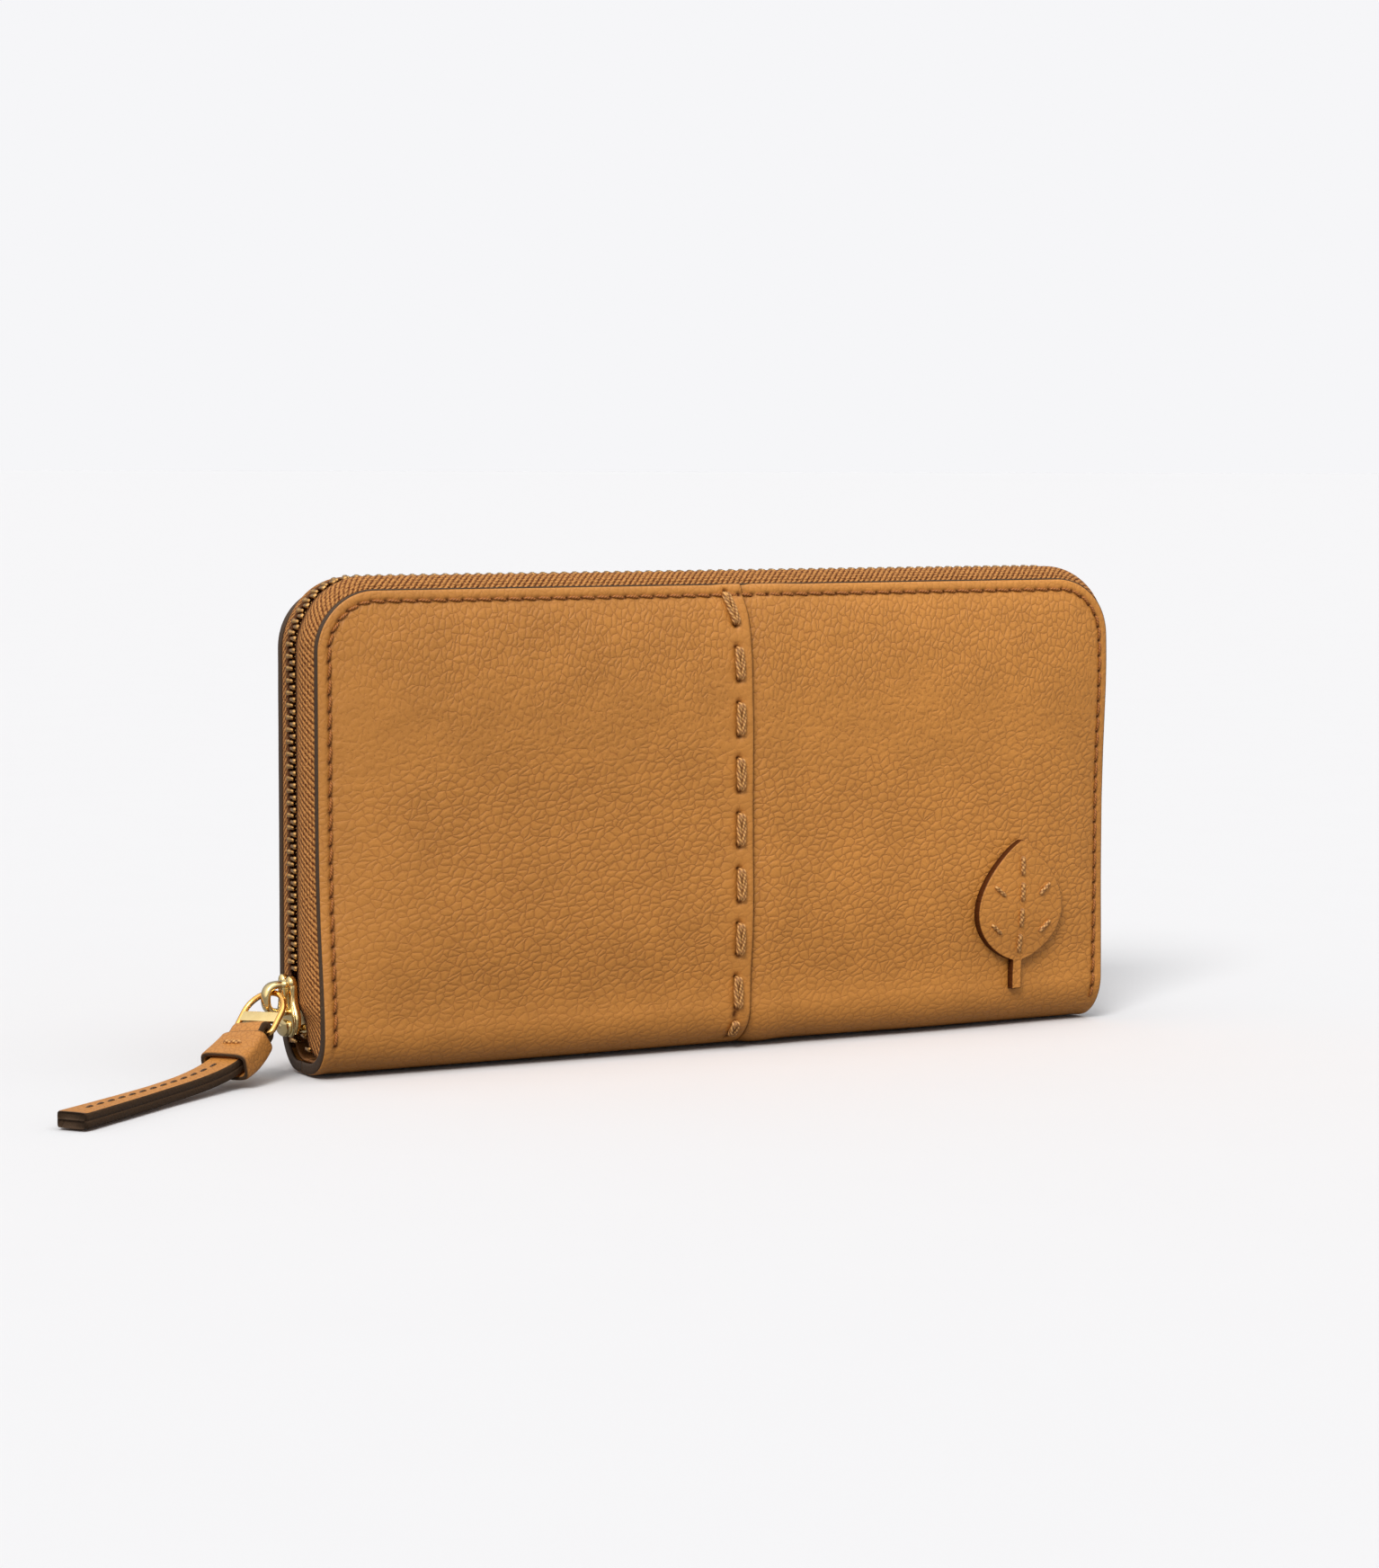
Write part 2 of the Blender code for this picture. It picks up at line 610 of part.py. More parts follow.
def strap_half_width(reach):
    """Half the strap's width: broad at the ring, waisted, and broader again at its end."""
    start, waist, end = STRAP_HALF_WIDTHS
    share = reach / STRAP_REACH
    return start + (waist - start) * math.sin(min(share / 0.55, 1.0) * math.pi / 2) + (end - waist) * max(
        0.0, (share - 0.55) / 0.45
    )


def strap_ring(reach, half_width, half_thick):
    centre, _, across, up = strap_frame(reach)
    corners = ((-1, -1), (1, -1), (1, 1), (-1, 1))
    return [centre + across * half_width * a + up * half_thick * b for a, b in corners]


def strap():
    """The folded strap, with a round eye for the ring's bar."""
    reaches = [0.9, 2.0, 3.4, 5.2, 7.5, 10.5, 14.0, 18.0, 23.0, 29.0, 36.0, 44.0, 52.0, STRAP_REACH]
    rings = [strap_ring(r, strap_half_width(r), STRAP_HALF_THICK) for r in reaches]
    body = add_piece("pull_strap", "pull_strap", "leather", *loft(rings))
    _, bar_direction, _ = ring_axes()
    for name, radius, half in (
        ("strap_head", STRAP_HEAD, strap_half_width(0.0)),
        ("strap_eye", STRAP_EYE, strap_half_width(0.0) + 1.0),
    ):
        combine(body, bar_cylinder(name, bar_direction, radius, half), "UNION" if name == "strap_head" else "DIFFERENCE")


def bar_cylinder(name, direction, radius, half):
    """A round helper about the ring's lower bar."""
    down = ring_axes()[0]
    side = down.cross(direction)
    rings = []
    for end in (-half, half):
        centre = ring_bar() + direction * end
        rings.append(
            [centre + (down * math.cos(a) + side * math.sin(a)) * radius for a in steps(0.0, 2 * math.pi, 17)[:-1]]
        )
    return add_piece(name, "pull_strap", "leather", *loft(rings), helper=True)


def keeper():
    """The leather loop that holds the strap's two layers together below the ring."""
    outer, inner = [], []
    for reach in steps(KEEPER_START, KEEPER_END, 4):
        width = strap_half_width(KEEPER_START) + KEEPER_SLACK
        thick = STRAP_HALF_THICK + KEEPER_SLACK
        centre, _, across, up = strap_frame(reach)
        for rows, grow in ((outer, KEEPER_WALL), (inner, 0.0)):
            half_w, half_t, turn = width + grow, thick + grow, 0.5 + grow
            ring = []
            for a in (math.radians(22.5 + 45 * i) for i in range(8)):
                v = math.copysign(half_w - turn, math.cos(a)) + turn * math.cos(a)
                t = math.copysign(half_t - turn, math.sin(a)) + turn * math.sin(a)
                ring.append(centre + across * v + up * t)
            rows.append(ring)
    add_piece("strap_keeper", "pull_strap", "leather", *loft(outer + inner[::-1], loop=True))


# ---- Coin pocket ------------------------------------------------------------------------------------
def coin_pocket():
    """Two walls sewn to a thin edge strip, closed along the top by a small coil zip."""
    for name, side in (("coin_pocket_front_wall", -1), ("coin_pocket_rear_wall", 1)):
        near, far = sorted((side * (COIN_OUT - COIN_WALL), side * COIN_OUT))
        low, high = (-COIN_HALF_WIDTH, near, COIN_FOOT), (COIN_HALF_WIDTH, far, COIN_TOP)
        add_piece(name, "coin_pocket", "lining", *box(low, high))
    half, thick = COIN_HALF_WIDTH, COIN_OUT - COIN_WALL - GAP / 2
    ring = [(-half, COIN_TOP), (-half, COIN_FOOT), (half, COIN_FOOT), (half, COIN_TOP)]
    ring += [(x - math.copysign(COIN_SEAM, x), max(z, COIN_FOOT + COIN_SEAM)) for x, z in ring[::-1]]
    rings = [[(x, y, z) for x, z in ring] for y in (-thick, thick)]
    add_piece("coin_pocket_edge_strip", "coin_pocket", "lining", *loft(rings))
    for name, side in (("front", -1), ("rear", 1)):
        line = [(side * 2.0, COIN_TOP - 6.0), (side * 2.0, COIN_TOP + 0.6), (side * 1.75, COIN_COIL_Z)]
        strip = ribbon(line, GAP)
        edge = COIN_HALF_WIDTH - COIN_SEAM - GAP
        rings = [[(x, p.x, p.y) for p in strip] for x in (-edge, edge)]
        add_piece(f"coin_zip_tape_{name}", "coin_pocket", "tape", *loft(rings))
        near, far = sorted((side * 0.6, side * 1.35))
        low = (-COIN_COIL_HALF_X + 2, near, COIN_COIL_Z - 0.6)
        high = (COIN_COIL_HALF_X - 2, far, COIN_COIL_Z + 0.6)
        add_piece(f"coin_zip_coil_{name}", "coin_pocket", "coil", *box(low, high))


def coin_block(name, body, low, high, helper=False):
    """A box placed from the coin slider's own middle."""
    middle = Vector(COIN_SLIDER_PIVOT)
    corners = [tuple(middle + Vector(corner)) for corner in (low, high)]
    return add_piece(name, body, "gold", *box(*corners), helper=helper)


def coin_zip_puller():
    """The coin zip's slider and the tab that lies along the chain."""
    body = coin_block("coin_slider", "coin_slider", (-3.6, -2.3, 0.95), (3.6, 2.3, 1.7))
    parts = (
        ("coin_slider_inner_plate", (-3.6, -1.4, -1.7), (3.6, 1.4, -0.95)),
        ("coin_slider_wedge", (2.0, -0.3, -1.2), (3.4, 0.3, 1.2)),
    )
    for name, low, high in parts:
        combine(body, coin_block(name, "coin_slider", low, high, helper=True), "UNION")
    for side in (-1, 1):
        near, far = sorted((side * 0.95, side * 1.6))
        lug = coin_block(f"coin_lug_{side}", "coin_slider", (-3.2, near, 1.5), (-1.6, far, 3.0), helper=True)
        combine(body, lug, "UNION")
    low, high = (-2.9 - COIN_TAB_LENGTH, -0.7, 2.05), (-1.98, 0.7, 2.65)
    coin_block("coin_zip_tab", "coin_tab", low, high)


# ---- Leaf ornament ----------------------------------------------------------------------------------
def leaf():
    """A pointed leaf and its stem, cut as one piece and lying on the curved front."""
    rows = steps(STEM_FOOT, LEAF_FOOT, 3)[:-1] + steps(LEAF_FOOT, LEAF_TIP, 12)
    outer, inner = [], []
    for share in steps(-1.0, 1.0, 7):
        face, back = [], []
        for z in rows:
            grown = max(0.0, (z - LEAF_FOOT) / (LEAF_TIP - LEAF_FOOT))
            blade = LEAF_HALF_WIDTH * math.sin(math.pi * grown**0.8) ** 0.75
            half = max(blade, STEM_HALF_WIDTH if z < LEAF_FOOT + 1 else 0.35)
            x = LEAF_X + share * half
            skin = cover_y(-1, x, z) - GAP
            face.append((x, skin - LEAF_THICK, z))
            back.append((x, skin, z))
        outer.append(face)
        inner.append(back)
    add_piece("leaf_ornament", "front_cover", "leather", *between(outer, inner))


# ---- The wallet -------------------------------------------------------------------------------------
def no_lift(_x):
    return 0.0


def covers():
    edge, right = WIDTH / 2, LAP_X + GAP
    front_skin("front_left_leather", -edge, LAP_X, lap_lift)
    front_skin("front_right_leather", right, edge, no_lift)
    back_skin("back_left_leather", -edge, LAP_X, lap_lift)
    back_skin("back_right_leather", right, edge, no_lift)
    for prefix, body, side, foot in (
        ("front", "front_cover", -1, HINGE_Z + 1.5),
        ("back", "back_cover", 1, BACK_FOOT_Z + 0.6),
    ):
        sheet(f"{prefix}_stiffener", body, side, "board", 9.0, 15.0, STIFFENER_OUT, STIFFENER)
        sheet(f"{prefix}_lining", body, side, "lining", 1.6, foot, LINING_OUT, LINING)
        seam_backing(f"{prefix}_seam_backing", body, side, 18.0)
        card_pockets(prefix, body, side)
    strip = ribbon(spine_line(LEATHER + GAP + LINING / 2), LINING)
    half = WIDTH / 2 - TAPE_TUCK - GAP
    rings = [[(x, p.x, p.y) for p in strip] for x in (-half, half)]
    add_piece("spine_lining", "back_cover", "lining", *loft(rings))
    for side, prefix, body in ((1, "rear", "back_cover"), (-1, "front", "front_cover")):
        gusset(f"{prefix}_left_gusset", body, side, -1)
        gusset(f"{prefix}_right_gusset", body, side, 1)


def main_zip():
    for prefix, body, side in (("front", "front_cover", -1), ("back", "back_cover", 1)):
        zip_tape(f"{prefix}_zip_tape", body, side)
        zip_teeth(f"{prefix}_zip_teeth", body, side)
    zip_stop()
    slider()
    bridge()
    pull_ring()
    strap()
    keeper()


clear_scene()
make_materials()
make_bodies()
covers()
main_zip()
coin_pocket()
coin_zip_puller()
leaf()
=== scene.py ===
"""Looks of the zip-around wallet, drawn over the CAD frame.

Lengths are in millimetres until make_mesh turns them into metres.
A cover's side is -1 for the front and 1 for the back.
"""

import json
import math

import bpy
import numpy as np
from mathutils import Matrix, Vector


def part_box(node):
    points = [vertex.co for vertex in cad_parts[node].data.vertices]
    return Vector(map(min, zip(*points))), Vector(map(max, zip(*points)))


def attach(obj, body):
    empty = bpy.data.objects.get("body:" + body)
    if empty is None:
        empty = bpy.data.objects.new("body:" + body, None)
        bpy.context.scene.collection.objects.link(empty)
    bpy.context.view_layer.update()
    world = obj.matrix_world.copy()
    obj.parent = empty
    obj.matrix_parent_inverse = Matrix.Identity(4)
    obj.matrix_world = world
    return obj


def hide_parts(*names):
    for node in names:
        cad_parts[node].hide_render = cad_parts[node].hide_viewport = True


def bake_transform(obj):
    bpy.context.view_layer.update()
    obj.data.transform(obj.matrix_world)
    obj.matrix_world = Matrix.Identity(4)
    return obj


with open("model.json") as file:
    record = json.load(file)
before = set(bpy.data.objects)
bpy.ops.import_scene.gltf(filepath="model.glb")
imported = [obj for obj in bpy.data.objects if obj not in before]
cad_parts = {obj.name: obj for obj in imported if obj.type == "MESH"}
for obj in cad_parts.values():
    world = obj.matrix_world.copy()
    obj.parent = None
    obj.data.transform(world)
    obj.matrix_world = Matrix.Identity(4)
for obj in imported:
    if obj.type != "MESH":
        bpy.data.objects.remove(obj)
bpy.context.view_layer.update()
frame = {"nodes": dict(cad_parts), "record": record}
MM = 0.001


def node_box(name):
    """A CAD node's lowest and highest corners in millimetres."""
    low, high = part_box(name)
    return np.array(low) / MM, np.array(high) / MM


# ---- Sizes ----
SKIN_LOW, SKIN_HIGH = node_box("front_left_leather")
HALF_WIDTH = -SKIN_LOW[0]
HEIGHT = SKIN_HIGH[2] - 0.7
LAP_X = SKIN_HIGH[0]
JOINTS = {j["name"]: j for j in frame["record"]["behaviour"]["joints"]}
HINGE_Z = JOINTS["cover_open"]["pos_m"][2] / MM
RING_TOP = np.array(JOINTS["ring_swing"]["pos_m"]) / MM
RING_BAR = np.array(JOINTS["strap_swing"]["pos_m"]) / MM
RING_ACROSS = np.array(JOINTS["strap_swing"]["axis"], float)
SLIDER_LOW, SLIDER_HIGH = node_box("slider_body")
SLIDER_Z = (SLIDER_LOW[2] + SLIDER_HIGH[2]) / 2
COIN_LOW, COIN_HIGH = node_box("coin_pocket_front_wall")
LEAF_LOW, LEAF_HIGH = node_box("leaf_ornament")

# Sizes that the CAD does not show: the covers' padding, foot and lap, and the stitches, cords and teeth.
HALF_DEPTH, CORNER = 10.5, 12.5
FLARE, FLARE_REACH = 2.9, 22.0
FRONT_CROWN, BACK_CROWN, CROWN_RISE = 3.8, 3.2, 15.0
FRONT_FOOT, BACK_FOOT = 9.5, 12.5
FLAT_FRONT, FLAT_BACK, UNDER_Y = -3.0, 1.0, -1.0
LAP_LIFT, LAP_RUN = 0.75, 9.0
STITCH_INSET, STITCH_PITCH = 2.3, 3.4
CORD_X, CORD_PITCH, CORD_LENGTH, CORD_TOP = -0.3, 11.75, 6.8, 94.2
SPINE_CORD_LENGTH = 3.4
TOOTH_MID, TOOTH_PITCH = 1.9, 2.5


# ---- Small maths ----
def smooth(edge0, edge1, x):
    """Rises from 0 at edge0 to 1 at edge1, level at both."""
    t = np.clip((x - edge0) / (edge1 - edge0), 0, 1)
    return t * t * (3 - 2 * t)


def bell(x, width):
    """1 at x = 0, fading to nothing over about twice the width."""
    return np.exp(-((x / width) ** 2))


def rim_drop(inside, reach):
    """How far a rounded rim has fallen, as a share of its radius, at a distance inside it."""
    past = np.clip(1 - inside / reach, 0, 1)
    return 1 - np.sqrt(np.maximum(0, 1 - past**2))


def pairs(a, b):
    """Two arrays as one of (a, b) pairs."""
    return np.stack(np.broadcast_arrays(a, b), -1)


def length_along(line):
    """Distance along a line of points to each of them."""
    return np.concatenate([[0], np.cumsum(np.linalg.norm(np.diff(line, axis=0), axis=1))])


def circle(count):
    return np.linspace(0, 2 * math.pi, count, endpoint=False)


LATTICES = [np.random.default_rng(seed).uniform(-1, 1, (64, 64)) for seed in (11, 23, 37)]


def noise(x, y, size, layer=0):
    """Smooth repeatable noise in -1..1 with features about size across."""
    grid = LATTICES[layer]
    n = grid.shape[0]
    u, v = np.asarray(x, float) / size + 500.0, np.asarray(y, float) / size + 500.0
    i, j = np.floor(u).astype(int), np.floor(v).astype(int)
    a, b = u - i, v - j
    a, b = a * a * (3 - 2 * a), b * b * (3 - 2 * b)
    i0, i1, j0, j1 = i % n, (i + 1) % n, j % n, (j + 1) % n
    top = grid[i0, j0] * (1 - a) + grid[i1, j0] * a
    bottom = grid[i0, j1] * (1 - a) + grid[i1, j1] * a
    return top * (1 - b) + bottom * b


def unit(v):
    v = np.asarray(v, float)
    return v / np.maximum(np.linalg.norm(v, axis=-1, keepdims=True), 1e-12)


# ---- The cover's surface ----
def flare(z):
    """How far the front cover's foot stands out."""
    return FLARE * bell(np.maximum(z - HINGE_Z, 0), FLARE_REACH)


def crown(x, z, foot):
    """Share of a cover's padding at a point: none at its edges and its foot."""
    middle, half = (HEIGHT + foot) / 2, (HEIGHT - foot) / 2
    across = 1 - np.minimum(1, np.abs(x) / HALF_WIDTH) ** 8
    upward = 1 - np.clip((z - middle) / half, 0, 1) ** 4
    risen = 1 - bell(np.maximum(z - foot, 0), CROWN_RISE)
    return across * upward * risen


def top_at(x, inset=0.0):
    """Height of a cover's top edge, drawn in by inset."""
    radius = CORNER - inset
    past = np.maximum(0, np.abs(x) - (HALF_WIDTH - CORNER))
    return HEIGHT - CORNER + np.sqrt(np.maximum(0, radius**2 - past**2))


def from_edge(x, z):
    """Distance inside the cover's outline, and length along it from the foot of the left side."""
    straight, shoulder = HALF_WIDTH - CORNER, HEIGHT - CORNER
    ax = np.abs(x)
    qx, qz = ax - straight, z - shoulder
    in_corner = (qx > 0) & (qz > 0)
    distance = np.where(in_corner, CORNER - np.hypot(qx, qz), np.minimum(HALF_WIDTH - ax, HEIGHT - z))
    turn = CORNER * np.arctan2(np.maximum(qz, 0), np.maximum(qx, 1e-9))
    on_top = (qx <= 0) & (HEIGHT - z < HALF_WIDTH - ax)
    quarter = CORNER * math.pi / 2
    half = shoulder + quarter + straight
    along = np.where(on_top, half - ax, np.where(in_corner, shoulder + turn, np.minimum(z, shoulder)))
    return distance, np.where(x < 0, along, 2 * half - along)


def foot_of(side):
    return FRONT_FOOT if side < 0 else BACK_FOOT


def foot_curve(side, power):
    """Length, y and z down a cover's foot: a rounded corner, then a flat strip to the middle of the spine."""
    start = -(HALF_DEPTH + FLARE) if side < 0 else HALF_DEPTH
    centre = FLAT_FRONT if side < 0 else FLAT_BACK
    angle = np.linspace(0, math.pi / 2, 160)
    y = centre + (start - centre) * np.cos(angle) ** (2 / power)
    z = foot_of(side) * (1 - np.sin(angle) ** (2 / power))
    y, z = np.append(y, UNDER_Y), np.append(z, 0.0)
    return length_along(pairs(y, z)), y, z


FEET = {-1: (foot_curve(-1, 2.3), foot_curve(-1, 1.85)), 1: (foot_curve(1, 2.0), foot_curve(1, 2.0))}


def base_profile(side, x, a):
    """(y, z) of a cover at profile height a; below the foot, a keeps falling along the spine's curve."""
    x, a = np.broadcast_arrays(np.asarray(x, float), np.asarray(a, float))
    foot = foot_of(side)
    right = smooth(45, 95, x) if side < 0 else 0.0 * x
    below = np.maximum(foot - a, 0)
    low_y, low_z = 0.0, 0.0
    for (length, curve_y, curve_z), share in zip(FEET[side], (1 - right, right)):
        reach = below * length[-1] / FEET[side][0][0][-1]
        low_y = low_y + share * np.interp(reach, length, curve_y)
        low_z = low_z + share * np.interp(reach, length, curve_z)
    if side < 0:
        bow = 1.3 * smooth(50, 95, x) * bell(a - 80, 18)
        y = -(HALF_DEPTH + flare(a) * (1 - 0.8 * right) + bow + FRONT_CROWN * crown(x, a, foot))
        narrow = 1 - 0.8 * right * FLARE / (HALF_DEPTH + FLARE + FLAT_FRONT)
        low_y = np.where(low_y < FLAT_FRONT, FLAT_FRONT + (low_y - FLAT_FRONT) * narrow, low_y)
    else:
        y = HALF_DEPTH + BACK_CROWN * crown(x, a, foot)
    y = np.where(a >= foot, y, low_y)
    arch = 0.22 + 0.2 * bell(x - 8, 34)
    lifted = arch * (smooth(34, 4, a) if side < 0 else smooth(4.5, UNDER_Y, y) * (a < foot))
    return y, np.where(a >= foot, a, low_z) + lifted


def base_normal(side, x, a):
    y0, z0 = base_profile(side, x, a - 0.3)
    y1, z1 = base_profile(side, x, a + 0.3)
    ny, nz = side * (z1 - z0), -side * (y1 - y0)
    length = np.maximum(np.hypot(ny, nz), 1e-9)
    return ny / length, nz / length


def seam_shift(a):
    """How far the lap seam strays from its mean line: right for most of its run, left at the top edge."""
    return 0.6 - 1.35 * bell(HEIGHT - np.asarray(a, float), 5.5)


def cord_centres(side):
    """Profile heights of the cord stitches on a cover's lap seam."""
    centres = [CORD_TOP] + [CORD_TOP - 11.6 - CORD_PITCH * k for k in range(7)]
    if side < 0:
        centres.append(HINGE_Z - 3.3)
    return centres


def cord_middle(index):
    """x of a cord stitch's middle: the top one sits further left."""
    return CORD_X - (0.9 if index == 0 else 0.2)


def cord_tilt(index):
    """How far a cord stitch's top leans left of its foot."""
    return (1.3, 0.15, -0.1, 0.1, -0.1, 0.0, 0.1, 0.2, 0.0)[index]


def lap_rise(side, x, a):
    """How far the left panel climbs onto the right one beside the lap seam."""
    foot = foot_of(side)
    return LAP_LIFT * smooth(LAP_X - LAP_RUN, LAP_X, x) * smooth(foot - 8, foot - 1, a)


def relief(side, x, a, lapped):
    """Height of the skin over its base surface, and how dark and how smooth it is there."""
    foot = foot_of(side)
    distance, along = from_edge(x, a)
    h = 0.22 * noise(x, a, 26.0) + 0.10 * noise(x, a, 11.0, 1) + 0.035 * noise(x, a, 2.6, 2)
    h *= smooth(2, 14, distance) * smooth(foot - 7, foot + 4, a)
    # edge roll, stitch groove, needle holes and the puckers that fan in from the stitches
    h -= 0.35 * rim_drop(distance, 0.40)
    groove = bell(distance - STITCH_INSET, 0.5)
    below_row = smooth(foot - 5.5, foot - 4.0, a)
    phase = (along / STITCH_PITCH) % 1.0
    near_hole = bell(np.minimum(phase, 1 - phase) * STITCH_PITCH, 0.48)
    hole = near_hole * bell(distance - STITCH_INSET, 0.42) * below_row
    h -= (0.20 * groove + 0.34 * hole) * below_row
    h += 0.10 * bell(distance - 1.1, 0.6)
    crease = np.abs(noise(along, distance * 0.25, 1.7, 2))
    h -= 0.15 * (1 - crease) ** 3 * smooth(2.2, 3.2, distance) * np.exp(-np.maximum(distance - 2.6, 0) / 3.6)
    # dark: painted shade in the needle holes and along the stitch groove
    dark = 0.95 * np.clip(1.4 * hole, 0, 1) + 0.18 * groove * below_row
    calm = smooth(6.0, 1.5, distance) * 0.7
    if side < 0:
        calm = np.maximum(calm, 0.5 * smooth(-66, -88, x + 4 * noise(x, a, 14.0)))
    # lap seam
    if lapped:
        h += lap_rise(side, x, a) - 0.4 * rim_drop(LAP_X - x, 0.5)
        for k, centre in enumerate(cord_centres(side)):
            lean = cord_middle(k) - 0.3 * seam_shift(a) - cord_tilt(k) * (a - centre) / CORD_LENGTH
            dx, da = x - lean, np.abs(a - centre)
            seat = bell(dx, 1.1) * smooth(CORD_LENGTH / 2 + 1.2, CORD_LENGTH / 2 - 1.5, da)
            tip = bell(dx, 0.55) * bell(da - CORD_LENGTH / 2 - 0.1, 0.6)
            pull = bell(dx, 3.4) * bell(da - CORD_LENGTH / 2, 2.2)
            h -= 0.28 * seat + 0.75 * tip + 0.20 * pull
            # dark: painted shade in the awl holes at each cord's tips and under the cord in its seat
            dark = np.maximum(dark, np.maximum(np.clip(1.7 * tip - 0.2, 0, 1), 0.75 * seat * bell(dx, 0.8)))
        calm = np.maximum(calm, smooth(-5.0, -0.5, x) * 0.85)
        dark = np.maximum(dark, smooth(LAP_X - 0.42, LAP_X - 0.1, x))
    else:
        gap = x - LAP_X
        h += 0.35 * bell(gap - 6, 4.5) - 0.25 * bell(gap, 1.6)
        # painted shadow that the lapped panel's edge casts on this panel
        dark = np.maximum(dark, 0.45 * np.exp(-np.maximum(gap, 0) / 0.7))
    calm = np.maximum(calm, smooth(foot + 9, foot - 2, a) * 0.6)
    return h, dark, calm


# ---- Materials ----
def srgb(r, g, b):
    """An sRGB colour of 0..255 as the linear values a shader takes."""
    values = [c / 255 for c in (r, g, b)]
    return (*[c / 12.92 if c <= 0.04045 else ((c + 0.055) / 1.055) ** 2.4 for c in values], 1.0)


class Shade:
    """A node tree under a Principled shader, with short ways to add nodes."""

    def __init__(self, name):
        self.material = bpy.data.materials.new(name)
        self.material.use_nodes = True
        self.tree = self.material.node_tree
        self.shader = self.tree.nodes["Principled BSDF"]

    def add(self, kind, inputs=None, output=0, **settings):
        node = self.tree.nodes.new(kind)
        for key, value in settings.items():
            setattr(node, key, value)
        for key, value in (inputs or {}).items():
            self.plug(node.inputs[key], value)
        return node.outputs[output]

    def plug(self, socket, value):
        if isinstance(value, bpy.types.NodeSocket):
            self.tree.links.new(value, socket)
        else:
            socket.default_value = value

    def math(self, operation, a, b=0.0, c=0.0, clamp=False):
        return self.add("ShaderNodeMath", {0: a, 1: b, 2: c}, operation=operation, use_clamp=clamp)

    def ramp(self, value, low, high, out_low=0.0, out_high=1.0):
        inputs = {0: value, 1: low, 2: high, 3: out_low, 4: out_high}
        return self.add("ShaderNodeMapRange", inputs, interpolation_type="SMOOTHSTEP")

    def times(self, a, b, clamp=False):
        return self.math("MULTIPLY", a, b, clamp=clamp)

    def plus(self, a, b, clamp=False):
        return self.math("ADD", a, b, clamp=clamp)

    def rest_of(self, a):
        """1 - a."""
        return self.math("SUBTRACT", 1.0, a)

    def parts(self, vector):
        """A vector's x, y and z."""
        node = self.tree.nodes.new("ShaderNodeSeparateXYZ")
        self.plug(node.inputs[0], vector)
        return node.outputs

    def mix(self, factor, a, b):
        node = self.tree.nodes.new("ShaderNodeMix")
        node.data_type = "RGBA"
        for socket, value in ((node.inputs[0], factor), (node.inputs[6], a), (node.inputs[7], b)):
            self.plug(socket, value)
        return node.outputs[2]

    def place(self, angle=0.0, scale=(1, 1, 1), where=None):
        source = where or self.add("ShaderNodeUVMap", uv_map="mm")
        inputs = {"Vector": source, "Rotation": (0, 0, angle), "Scale": scale}
        return self.add("ShaderNodeMapping", inputs, vector_type="POINT")

    def noise(self, where, scale, detail=2.0, output=0):
        inputs = {"Vector": where, "Scale": scale, "Detail": detail}
        return self.add("ShaderNodeTexNoise", inputs, output=output, noise_dimensions="3D")

    def attribute(self, name):
        return self.add("ShaderNodeAttribute", output=2, attribute_name=name)

    def bump(self, height, distance_mm, strength=1.0):
        inputs = {"Strength": strength, "Distance": distance_mm * MM, "Height": height}
        return self.add("ShaderNodeBump", inputs)

    def finish(self, colour, roughness, normal=None, metallic=0.0, specular=0.5):
        values = {"Base Color": colour, "Roughness": roughness, "Metallic": metallic}
        values["Specular IOR Level"] = specular
        for key, value in values.items():
            self.plug(self.shader.inputs[key], value)
        if normal is not None:
            self.plug(self.shader.inputs["Normal"], normal)
        return self.material


# two tones of the leather's long waves, each from the left end to the right end: the two tones are the leather's
# own, the darker left end and lighter right end are painted light falloff
TONES_WITH_PAINTED_FALLOFF = ((0.96, 1.14), (0.87, 1.03))
# turns and cells of the grain: near the foot, near the top, and the fine hairs
GRAIN_TURN, SECOND_TURN, SMALL_TURN = -20.0, -78.0, 11.0
SMALL_CELL = (0.9, 0.75)


